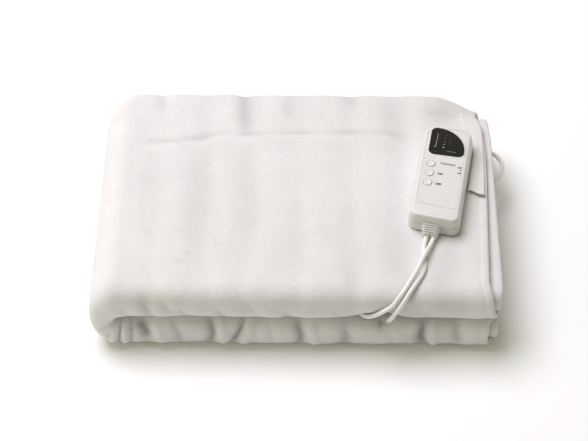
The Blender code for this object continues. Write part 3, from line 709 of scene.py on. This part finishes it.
def make_pad(material):
    grid, edge, rows = pad_surface()
    relief = outer_relief(grid) * outer_share(rows)
    grid = grid + outward(grid) * relief[..., None]
    grid[..., 2] -= SAG * (1 - smooth(grid[..., 0], -0.20, 0.08)) * np.sin(np.pi * grid[..., 2] / PAD_HEIGHT)
    thickness = hem_thickness(edge)[:, None] * np.ones(len(rows))[None, :]
    vertices, faces = sheet_mesh(grid, thickness)
    vertices[:, 2] = np.maximum(vertices[:, 2], 0.0)
    pad = mesh_object("fleece_pad", vertices, faces, material, sharp=70.0)
    # Painted shade: each point's trough depth is stored so that the fleece is darkened there.
    crease_shade = pad.data.attributes.new("crease_shade", "FLOAT", "POINT")
    depth = np.clip(-relief.ravel() / DEEPEST_CREASE, 0, 1)
    crease_shade.data.foreach_set("value", np.tile(depth, 2).astype(np.float32))
    claim(pad, "white_fleece", "pad")


def outward(grid):
    """Normals, turned so that they point out of the fold on its outer layer."""
    normal = grid_normals(grid)
    top = RUN_FACETS[0] + TURNS[0][2] + RUN_FACETS[1] // 2
    return normal if normal[len(HEM_STATIONS), top, 2] > 0 else -normal


# Strap, gathered along the right edge of the top

STRAP_THICKNESS = 0.0014
STRAP_MEAN_WIDTH = 0.014
STRAP_SECTIONS = (  # y at its left edge, how much nearer its right edge lies, x of both edges, lift
    (-0.0060, 0.0070, 0.1795, 0.1965, 0.0040),
    (0.0010, 0.0062, 0.1806, 0.1970, 0.0026),
    (0.0100, 0.0048, 0.1822, 0.1976, 0.0012),
    (0.0220, 0.0030, 0.1842, 0.1984, 0.0004),
    (0.0360, 0.0012, 0.1864, 0.1990, 0.0004),
    (0.0500, 0.0, 0.1882, 0.1995, 0.0004),
    (0.0580, 0.0, 0.1884, 0.1997, 0.0004),
    (0.0650, 0.0, 0.1860, 0.1997, 0.0004),
    (0.0730, 0.0, 0.1815, 0.1996, 0.0006),
    (0.0840, 0.0, 0.1790, 0.1990, 0.0009),
    (0.0950, 0.0, 0.1780, 0.1975, 0.0013),
    (0.1050, 0.0, 0.1778, 0.1950, 0.0017),
    (0.1150, 0.0, 0.1780, 0.1920, 0.0020),
)
# Its gathers: place across it (0 to 1), sideways drift, width, height
STRAP_GATHERS = ((0.22, 0.03, 0.12, 0.0004), (0.50, 0.05, 0.14, 0.0007), (0.80, 0.04, 0.13, 0.0005))


def make_strap(material):
    """A strip of the same cloth, drawn up into soft uneven gathers along its length."""
    sections = np.array(STRAP_SECTIONS)
    ys = np.linspace(sections[0, 0], sections[-1, 0], 84)
    nearer, left, right, lift = (smooth_between(ys, sections[:, 0], sections[:, k]) for k in (1, 2, 3, 4))
    across = np.linspace(0.0, 1.0, 41)
    x = left[:, None] + across * (right - left)[:, None]
    y = ys[:, None] - nearer[:, None] * across + 0.0008 * np.sin(7.0 * across)
    gathers = np.zeros_like(x)
    for place, drift, width, height in STRAP_GATHERS:
        middle = place + drift * np.sin(38.0 * y + 9.0 * place)
        swell = 0.65 + 0.35 * np.cos(47.0 * y + 5.0 * place)
        gathers += height * swell * np.exp(-(((across - middle) / width) ** 2))
    gathers *= smooth(ys, ys[0], 0.012)[:, None] * (1 - smooth(ys, ys[-1] - 0.040, 0.036)[:, None])
    z = top_height(x, y) + FIT + lift[:, None] + STRAP_THICKNESS / 2 + gathers
    grid = np.stack([x, y, z], axis=-1)
    sides = np.minimum(across, 1 - across) * STRAP_MEAN_WIDTH
    ends = np.minimum(ys - ys[0], ys[-1] - ys)[:, None]
    hem = 1 + 0.45 * (1 - smooth(ends, 0.0040, 0.0008))
    thickness = STRAP_THICKNESS * rounded_edge(np.minimum(sides, ends), 0.0012, 0.08) * hem
    strap = mesh_object("strap", *sheet_mesh(grid, thickness), material, sharp=70.0)
    claim(strap, "white_strap", "corner_strap")


def smooth_between(at, known, values):
    """Values between the known ones, along a line that is smooth enough not to show where they are."""
    fine = np.linspace(known[0], known[-1], 240)
    padded = np.pad(np.interp(fine, known, values), 6, mode="edge")
    eased = np.convolve(padded, np.ones(13) / 13, mode="valid")
    return np.interp(at, fine, eased)


# Controller, in its own frame: x across, y towards its far end, z up from the cloth

RING_FACETS = 14
PANEL = (-0.0208, 0.0212, -0.0500, 0.0615)  # the panel's sides on the face, bounded by a groove
PANEL_CORNERS = (0.0060, 0.0115)  # their radius at the near and the far end
PANEL_SLANT = 0.0027
PANEL_GROOVE = (0.0009, 0.0004)  # its width and depth
RIM_WIDTH = 0.0015
RIM_HEIGHT = 0.0005
MARK_THICKNESS = 0.00004
MARK_CLEAR = 0.00001  # between a mark and what it is on
LABEL_WEIGHT = 0.00022  # how much bolder the letters are drawn
BORE = 0.0004  # around a button
ROOT_WIDTH = 0.7  # of the strain relief's root, as a share of the boot's
ROOT_HEIGHT = 0.55
SLOT_HALF_HEIGHT = 0.0034
GROOVE_DEPTH = 0.0024
# A rib and its groove: place along them, depth as a share of the groove's
RIB_PROFILE = (
    (0.0, 0.6), (0.06, 0.12), (0.14, 0.0), (0.34, 0.0), (0.42, 0.12), (0.48, 0.6), (0.54, 1.0), (0.92, 1.0),
)
GROOVE_FROM = 5  # the profile's first band that gets the darker plastic of painted groove shade
NOTCH = ((-0.0013, -0.0010), (0.0013, -0.0010), (0.0003, 0.0032), (-0.0003, 0.0032))  # from the boot's tip


def controller_matrix():
    place = Matrix.Translation((*CONTROLLER_PLACE, PAD_HEIGHT + FIT))
    return place @ Matrix.Rotation(CONTROLLER_TURN, 4, "Z")


def slanted(x, y):
    """The point, moved with the slant of the case's near end."""
    return x, y - NEAR_SLANT * x * float(smooth(-y, 0.020, 0.040))


def case_ring(inset, end_inset, z):
    half_width, half_length = CASE_WIDTH / 2 - inset, CASE_LENGTH / 2 - end_inset
    corners = max(NEAR_CORNER - inset, 0.002), max(FAR_CORNER - inset, 0.002)
    outline = rounded_outline(-half_width, half_width, -half_length, half_length, *corners, RING_FACETS)
    return [(*slanted(x, y), z) for x, y in outline]


def onto_pad(obj, slot, *nodes, body="folded_pad"):
    """Moves a piece from the controller's own frame to its place, and says what it stands for."""
    obj.data.transform(controller_matrix())
    claim(obj, slot, *nodes, body=body)


def relief_slot():
    """The solid of the slot in both shells that takes the strain relief's root."""
    half_width = RELIEF_START[0] * ROOT_WIDTH / 2 + FIT
    left, right = RELIEF_X - half_width, RELIEF_X + half_width
    low, high = RELIEF_HEIGHT - SLOT_HALF_HEIGHT, RELIEF_HEIGHT + SLOT_HALF_HEIGHT
    outline = ((right, high), (left, high), (left, low), (right, low))
    ends = (-CASE_LENGTH / 2 + RELIEF_ROOT + FIT, -CASE_LENGTH / 2 - 0.004)
    return loft([upright(outline, y) for y in ends])


def make_base(material):
    wall = CASE_WALL
    rows = (  # inset at the sides and at the ends, height
        (0.0036, 0.0036, 0.0), (0.0018, 0.0018, 0.0003), (0.0008, 0.0008, 0.0010), (0.0003, 0.0003, 0.0022),
        (0.0, 0.0, 0.0045), (0.0, 0.0, 0.0085), (0.0001, 0.0, CASE_SPLIT - 0.0001),
        (0.0003, 0.0002, CASE_SPLIT), (wall + 0.0003, wall, CASE_SPLIT), (wall + 0.0003, wall, 0.0040),
        (wall + 0.0018, wall + 0.0018, wall),
    )
    base = mesh_object("controller_base_shell", *loft([case_ring(*row) for row in rows]), material)
    base = combine(base, "relief_slot", relief_slot())
    onto_pad(smooth_by_angle(base), "white_plastic", "controller_base")


def window_outline(grow):
    """The display's outline: straight left and near sides, and one wide arc."""
    centre_x, centre_y = WINDOW_ARC_CENTRE
    corner = WINDOW_CORNER + grow
    left, near = WINDOW_LEFT - grow, WINDOW_NEAR - grow
    reach = WINDOW_ARC_RADIUS + grow
    small_far = (centre_x, centre_y + reach - (centre_x - left))
    near_right = (centre_x + reach - corner, near + corner)
    outline = arc((centre_x, centre_y), reach, 0, 90, 30)
    outline += arc(small_far, centre_x - left, 90, 180, 14)[1:]
    outline += arc((left + corner, near + corner), corner, 180, 270, 12)
    outline += arc(near_right, corner, 270, 360, 12)[:-1]
    return outline


def panel_outline(grow):
    left, right, near, far = PANEL
    corners = (PANEL_CORNERS[0] + grow, PANEL_CORNERS[1] + grow)
    outline = rounded_outline(left - grow, right + grow, near - grow, far + grow, *corners, 10)
    return [(x, y - PANEL_SLANT * x / right * smooth(-y, 0.030, 0.016)) for x, y in outline]


def make_cover(material):
    face, wall = CASE_HEIGHT, CASE_WALL
    ceiling = face - wall
    low = CASE_SPLIT + FIT
    rows = (  # inset at the sides and at the ends, height
        (wall + 0.0034, wall + 0.0018, ceiling), (wall + 0.0022, wall + 0.0010, ceiling - 0.0014),
        (wall + 0.0012, wall + 0.0006, low + 0.0050), (wall + 0.0006, wall + 0.0004, low),
        (0.0005, 0.0003, low), (0.0003, 0.0001, low + 0.0002), (0.0006, 0.0003, low + 0.0040),
        (0.0012, 0.0005, face - 0.0046), (0.0019, 0.0008, face - 0.0028), (0.0027, 0.0011, face - 0.0014),
        (0.0035, 0.0015, face - 0.0005), (0.0041, 0.0020, face - 0.0001), (0.0046, 0.0026, face),
    )
    cover = mesh_object("controller_cover_shell", *loft([case_ring(*row) for row in rows]), material)
    cover = combine(cover, "relief_slot", relief_slot())
    width, depth = PANEL_GROOVE
    outer, inner = panel_outline(width / 2), panel_outline(-width / 2)
    groove = ((outer, face - depth), (outer, face + 0.001), (inner, face + 0.001), (inner, face - depth))
    cover = combine(cover, "groove", ring_solid(groove))
    rim = (  # how far out from the window, height above the face
        (RIM_WIDTH, -0.0002), (RIM_WIDTH, 0.0001), (RIM_WIDTH - 0.0003, RIM_HEIGHT - 0.0001),
        (RIM_WIDTH - 0.0006, RIM_HEIGHT), (0.0006, RIM_HEIGHT), (0.0003, RIM_HEIGHT - 0.0001),
        (0.0002, -0.0002),
    )
    cover = combine(cover, "rim", ring_solid([(window_outline(out), face + up) for out, up in rim]), "UNION")
    cover = combine(cover, "pocket", prism(window_outline(0.0002), face - WINDOW_DEPTH, face + 0.002))
    for y in BUTTON_Y:
        bore = circle((BUTTON_X, y), BUTTON_RADIUS + BORE)
        cover = combine(cover, "bore", prism(bore, face - 0.006, face + 0.003))
    onto_pad(smooth_by_angle(cover), "white_plastic", "controller_cover")


def make_window(material):
    rows = ((0.0, 0.0001 - WINDOW_DEPTH), (0.0, -0.0004), (-0.0002, -0.0002), (-0.0006, -0.0001))
    rings = [level(window_outline(grow), CASE_HEIGHT + z) for grow, z in rows]
    pane = mesh_object("display_pane", *loft(rings), material, sharp=50.0)
    onto_pad(pane, "black_display", "display_window")


def flat_mark(name, outline, height, material):
    mark = mesh_object(name, *prism(outline, height, height + MARK_THICKNESS), material)
    onto_pad(mark, "black_display")


def stroke(start, end, width):
    """The outline of a straight stroke."""
    (ax, ay), (bx, by) = start, end
    length = math.hypot(bx - ax, by - ay)
    nx, ny = -(by - ay) / length * width / 2, (bx - ax) / length * width / 2
    return [(ax + nx, ay + ny), (ax - nx, ay - ny), (bx - nx, by - ny), (bx + nx, by + ny)]


# On the display: name, stroke's ends and width, and its ink
DISPLAY_STROKES = (
    ("scale_bar", (-0.0104, 0.0535), (-0.0110, 0.0350), 0.00060, "grey"),
    ("scale_foot", (-0.0125, 0.0338), (-0.0110, 0.0350), 0.00070, "bright"),
    ("scale_top", (-0.0132, 0.0550), (-0.0106, 0.0552), 0.00045, "faint"),
    ("side_column", (0.0034, 0.0480), (0.0031, 0.0380), 0.00050, "faint"),
    ("status_bar", (0.0012, 0.0293), (0.0110, 0.0286), 0.00090, "dim"),
    ("status_mark", (-0.0112, 0.0274), (-0.0086, 0.0272), 0.00060, "faint"),
)
LEVEL_MARKS = (  # number, place and ink of each
    (5, -0.0016, 0.0530, "faint"),
    (4, -0.0022, 0.0480, "dim"),
    (3, -0.0024, 0.0433, "dim"),
    (2, -0.0026, 0.0388, "grey"),
    (1, -0.0030, 0.0343, "bright"),
)
LEVEL_MARK = ((-0.0011, -0.0004), (0.0011, -0.0005), (0.0012, 0.0001), (0.0005, 0.0005), (-0.0004, 0.0004))


def make_display_marks(inks):
    height = CASE_HEIGHT - 0.0001 + MARK_CLEAR
    for name, start, end, width, shade in DISPLAY_STROKES:
        flat_mark(name, stroke(start, end, width), height, inks[shade])
    for number, x, y, shade in LEVEL_MARKS:
        outline = [(x + dx, y + dy) for dx, dy in LEVEL_MARK]
        flat_mark(f"level_mark_{number}", outline, height, inks[shade])


# Printed by the buttons: name, words, left end, baseline, letter height
LABELS = (
    ("label_levels", "1 2 3 4 5 6 7", -0.0036, 0.0100, 0.0022),
    ("label_on", "ON", -0.0043, -0.0054, 0.0024),
    ("label_off", "OFF", -0.0047, -0.0202, 0.0024),
    ("label_high", "6-9", 0.0156, 0.0066, 0.0021),
    ("label_low", "1-5", 0.0158, -0.0012, 0.0021),
)
LABEL_SLANT = -0.075
CAPITAL_SHARE = 0.7  # a capital's height in its font size


def make_labels(material):
    height = CASE_HEIGHT + MARK_CLEAR
    for name, words, x, y, tall in LABELS:
        data = bpy.data.curves.new(name, "FONT")
        data.body = words
        data.size = tall / CAPITAL_SHARE
        data.extrude = MARK_THICKNESS / 2
        data.offset = LABEL_WEIGHT
        data.resolution_u = 4
        data.materials.append(material)
        text = add_object(name, data)
        text.location = (x, y, height + MARK_THICKNESS / 2)
        text.rotation_euler = (0, 0, LABEL_SLANT)
        onto_pad(settled(text), "black_display")
    flat_mark("label_dot", stroke((0.0179, 0.0038), (0.0195, 0.0037), 0.0015), height, material)


def make_button(number, y, material):
    """A shallow dished cap on a flange that stays under the face."""
    underside, top = -CASE_WALL - FIT, BUTTON_STANDS
    cap = BUTTON_RADIUS - 0.0001
    rows = (  # radius, height above the case's face
        (0.0018, underside - 0.0040), (0.0018, underside - 0.0010), (cap + 0.0008, underside - 0.0010),
        (cap + 0.0008, underside), (cap, underside), (cap, top - 0.0006), (cap - 0.0002, top - 0.0002),
        (cap - 0.0006, top), (cap - 0.0011, top), (cap - 0.0018, top - 0.00015), (cap - 0.0028, top - 0.0003),
        (0.0004, top - 0.00035),
    )
    rings = [level(circle((BUTTON_X, y), radius), CASE_HEIGHT + z) for radius, z in rows]
    button = mesh_object(f"button_{number}_cap", *loft(rings), material, sharp=45.0)
    onto_pad(button, "white_plastic", f"button_{number}", body=f"button_{number}_body")


def relief_ring(share, inset):
    """An upright ring across the strain relief, share 0 at the case and 1 at its end."""
    width = RELIEF_START[0] + share * (RELIEF_END[0] - RELIEF_START[0]) - 2 * inset
    height = RELIEF_START[1] + share * (RELIEF_END[1] - RELIEF_START[1]) - 2 * inset
    corner = height * 0.42
    middle = RELIEF_HEIGHT + share**1.4 * (RELIEF_END_HEIGHT - RELIEF_HEIGHT)
    left, right = RELIEF_X - width / 2, RELIEF_X + width / 2
    outline = rounded_outline(left, right, middle - height / 2, middle + height / 2, corner, corner, 8)
    y = -CASE_LENGTH / 2 - FIT - share * RELIEF_LENGTH
    return [(*slanted(x, y), z) for x, z in outline]


def make_relief(material, groove_shade_material):
    """The ribbed, tapered boot, notched at its end between the two leads, with its grooves in a darker
    plastic that paints their shade.
    """
    root = []
    for x, y, z in relief_ring(0.0, 0.0):
        root_x = RELIEF_X + (x - RELIEF_X) * ROOT_WIDTH
        root_z = RELIEF_HEIGHT + (z - RELIEF_HEIGHT) * ROOT_HEIGHT
        root.append((root_x, y + NEAR_SLANT * (x - root_x), root_z))
    rings = [[(x, y + RELIEF_ROOT, z) for x, y, z in root], root]
    for k in range(RELIEF_RIBS):
        for part, depth in RIB_PROFILE:
            rings.append(relief_ring((k + part) / RELIEF_RIBS, depth * GROOVE_DEPTH))
    rings += [relief_ring(0.985, 0.0002), relief_ring(1.0, 0.0008)]
    boot = mesh_object("strain_relief_boot", *loft(rings), material)
    boot.data.materials.append(groove_shade_material)
    count = len(root)
    # Painted shade: the faces down in the grooves get the darker plastic.
    for k in range(2, len(rings) - 3):
        if (k - 2) % len(RIB_PROFILE) >= GROOVE_FROM:
            for polygon in boot.data.polygons[2 + k * count:2 + (k + 1) * count]:
                polygon.material_index = 1
    tip = -CASE_LENGTH / 2 - FIT - RELIEF_LENGTH
    boot = combine(boot, "notch", prism([(RELIEF_X + x, tip + y) for x, y in NOTCH], 0.0, 0.012))
    onto_pad(smooth_by_angle(boot, 50), "white_plastic", "strain_relief")


def make_controller():
    shell = plastic("controller_plastic", (0.69, 0.685, 0.66), 0.33)
    caps = plastic("button_plastic", (0.71, 0.705, 0.69), 0.36, grain=0.08)
    boot = plastic("boot_plastic", (0.82, 0.81, 0.775), 0.5)
    inks = {
        "bright": ink("bright_segment", (0.50, 0.50, 0.49)),
        "grey": ink("grey_segment", (0.26, 0.26, 0.25)),
        "dim": ink("dim_segment", (0.10, 0.10, 0.10)),
        "faint": ink("faint_segment", (0.035, 0.035, 0.035)),
        "print": ink("printed_grey", (0.03, 0.03, 0.03)),
    }
    make_base(shell)
    make_cover(shell)
    make_window(display_glass())
    make_display_marks(inks)
    make_labels(inks["print"])
    for number, y in enumerate(BUTTON_Y, start=1):
        make_button(number, y, caps)
    # The darker plastic paints shade into the boot's grooves; the boot itself is one colour.
    make_relief(boot, plastic("boot_groove_shade", (0.30, 0.29, 0.26), 0.7))


# Leads


def lay_route(route):
    """The route's points, with those on the cloth between the halves given their height."""
    return [
        Vector((x, y, float(floor_height(x, y)) + CORD / 2 + CORD_REST if z is None else z))
        for x, y, z in route
    ]


def hollow_floor():
    return float(floor_height(*COIL_CENTRE))


def plug_middle():
    return hollow_floor() + FIT + PLUG_HEIGHT / 2


def coil_points():
    """Round the coil: in on the bottom layer, up, and out again on the top one."""
    turns = 2 * COIL_TURNS_A_LAYER + 0.5
    count = round(turns * COIL_POINTS_A_TURN)
    low = hollow_floor() + COIL_CLEAR + CORD / 2
    points = []
    for k in range(count + 1):
        turn = turns * k / count
        angle = -math.pi / 2 - 2 * math.pi * turn
        inwards = turn / (turns / 2)
        depth = inwards if inwards <= 1 else 2 - inwards
        radius = COIL_OUTER - (COIL_OUTER - COIL_INNER) * depth
        x, y = COIL_CENTRE[0] + radius * math.cos(angle), COIL_CENTRE[1] + radius * math.sin(angle)
        points.append(Vector((x, y, low + CORD_SPACING * float(smooth(turn, turns / 2 - 0.5, 1.0)))))
    return points


def make_cord(name, points, material, nodes, **said):
    data = bpy.data.curves.new(name, "CURVE")
    data.dimensions = "3D"
    data.bevel_depth = CORD / 2
    data.bevel_resolution = 5
    data.resolution_u = 8
    data.use_fill_caps = True
    spline = data.splines.new("BEZIER")
    spline.bezier_points.add(len(points) - 1)
    for spot, point in zip(spline.bezier_points, points):
        spot.co = point
        spot.handle_left_type = spot.handle_right_type = "AUTO"
    data.materials.append(material)
    obj = add_object(name, data)
    claim(obj, "white_cord", *nodes)


def plug_ring(y, half_width, half_height):
    """An upright ring across the plug, with well rounded corners."""
    middle, corner = plug_middle(), half_height * 0.8
    sides = PLUG_X - half_width, PLUG_X + half_width, middle - half_height, middle + half_height
    return upright(rounded_outline(*sides, corner, corner, 7), y)


def make_plug():
    """Flat two-pin plug: a ribbed sleeve, a waisted body and its nose, and two pins off its face."""
    back, front = PLUG_BACK_Y, PLUG_BACK_Y - PLUG_LENGTH
    rings = []
    for k in range(SLEEVE_RIBS):
        for part, inset in ((0.0, 0.0), (0.5, 0.0), (0.6, 0.0005), (0.9, 0.0005)):
            share = (k + part) / SLEEVE_RIBS
            radius = SLEEVE_RADIUS * (0.80 + 0.20 * share) - inset
            rings.append(plug_ring(back + SLEEVE_LENGTH * (1 - share), radius, radius * 0.98))
    neck, wide, tall = PLUG_NOSE_WIDTH / 2, PLUG_WIDTH / 2, PLUG_HEIGHT / 2
    for y, half_width, half_height in (
        (back, SLEEVE_RADIUS, SLEEVE_RADIUS), (back - 0.0010, neck - 0.0052, tall - 0.0018),
        (back - 0.0022, neck - 0.0022, tall - 0.0007), (back - 0.0042, neck - 0.0006, tall - 0.0001),
        (back - 0.0070, neck, tall), (back - 0.0120, neck - 0.0007, tall),
        (back - 0.0180, neck - 0.0010, tall), (back - 0.0225, neck - 0.0002, tall),
        (front + 0.0090, wide - 0.0014, tall), (front + 0.0060, wide, tall), (front + 0.0008, wide, tall),
        (front + 0.0002, wide - 0.0003, tall - 0.0003), (front, wide - 0.0008, tall - 0.0008),
    ):
        rings.append(plug_ring(y, half_width, half_height))
    shell, metal = plastic("plug_plastic", (0.80, 0.79, 0.76), 0.4), plated_metal()
    plug = mesh_object("mains_plug", *loft(rings), shell, sharp=50.0)
    claim(plug, "white_plastic", "plug")
    return [plug, make_pin(1, -1, metal), make_pin(2, 1, metal)]


def make_pin(number, side, metal):
    """A round pin out of the plug's face, rounded at its tip."""
    face = PLUG_BACK_Y - PLUG_LENGTH
    tip = face - PIN_LENGTH
    rows = (  # inset from the pin's radius, y
        (0.0, face + 0.001), (0.0, tip + 0.0016), (0.0002, tip + 0.0008), (0.0007, tip + 0.0002),
        (0.0012, tip),
    )
    centre = (PLUG_X + side * PIN_SPACING / 2, plug_middle())
    rings = [upright(circle(centre, PIN_RADIUS - inset, 28), y) for inset, y in rows]
    pin = mesh_object(f"mains_pin_{number}", *loft(rings), metal, sharp=50.0)
    claim(pin, "pin_metal", f"plug_pin_{number}")
    return pin


def make_leads():
    material = cord_plastic()
    plug = make_plug()
    tail = [Vector((x, y, plug_middle() + lift)) for x, y, lift in TAIL_ROUTE]
    mains = lay_route(MAINS_ROUTE)[:-1] + coil_points() + tail
    make_cord(
        "mains_cord", mains, material, ("mains_lead", "mains_coil", "mains_tail"), length=1.88,
        far_end="plug", stiffness="medium", lay="coiled", with_pieces=plug,
    )
    make_cord(
        "pad_cord", lay_route(PAD_LEAD_ROUTE), material, ("pad_lead",), length=0.481,
        far_end="object", stiffness="limp", lay="loose",
    )


# Floor, light and camera

CAMERA_TARGET = (-0.0017, -0.0072, 0.0430)
CAMERA_DISTANCE = 1.978
CAMERA_ELEVATION = math.radians(48.0)
CAMERA_YAW = math.radians(0.56)
SENSOR = 36.0
LENS = 114.06122


def make_floor():
    made, shader, nodes = new_material("pale_floor", (0.97, 0.97, 0.97), 0.9)
    nodes.drift(shader, nodes.noise(40.0, 2.0, 0.5), 0.85, 0.95)
    reach = 6.0
    corners = [(-reach, -reach, 0), (reach, -reach, 0), (reach, reach, 0), (-reach, reach, 0)]
    mesh_object("floor", corners, [(0, 1, 2, 3)], made)


def aim(obj, place, target):
    """Puts a light or the camera at its place, pointed at the target."""
    obj.location = place
    obj.rotation_mode = "QUATERNION"
    obj.rotation_quaternion = (Vector(target) - Vector(place)).to_track_quat("-Z", "Y")


def area_light(name, place, target, size, power, colour):
    data = bpy.data.lights.new(name, "AREA")
    data.shape = "DISK"
    data.size = size
    data.energy = power
    data.color = colour
    aim(add_object(name, data), place, target)


def make_light():
    world = bpy.data.worlds.new("soft_studio")
    bpy.context.scene.world = world
    world.use_nodes = True
    background = world.node_tree.nodes["Background"]
    background.inputs["Color"].default_value = (1.0, 0.98, 0.74, 1.0)
    background.inputs["Strength"].default_value = 0.32
    area_light("key", (-0.75, 0.55, 2.35), (0.0, 0.0, 0.05), 2.0, 67.0, (0.92, 0.895, 1.0))
    area_light("side", (-1.9, -0.75, 0.55), (0.0, -0.1, 0.04), 0.4, 6.0, (1.0, 0.98, 0.76))
    area_light("rim", (-1.6, 1.5, 0.5), (0.1, 0.0, 0.08), 0.6, 3.0, (1.0, 0.985, 0.97))
    bpy.context.scene.view_settings.view_transform = "Standard"
    bpy.context.scene.view_settings.look = "None"


def make_camera():
    back = Vector((
        math.cos(CAMERA_ELEVATION) * math.sin(CAMERA_YAW),
        -math.cos(CAMERA_ELEVATION) * math.cos(CAMERA_YAW),
        math.sin(CAMERA_ELEVATION),
    ))
    data = bpy.data.cameras.new("camera")
    data.sensor_width = SENSOR
    data.lens = LENS
    camera = add_object("camera", data)
    aim(camera, Vector(CAMERA_TARGET) + back * CAMERA_DISTANCE, CAMERA_TARGET)
    bpy.context.scene.camera = camera


make_camera()
make_pad(fleece("fleece", (0.73, 0.715, 0.70)))
make_strap(fleece("strap_fleece", (0.73, 0.715, 0.695), 0.8))
make_controller()
make_leads()
make_floor()
make_light()
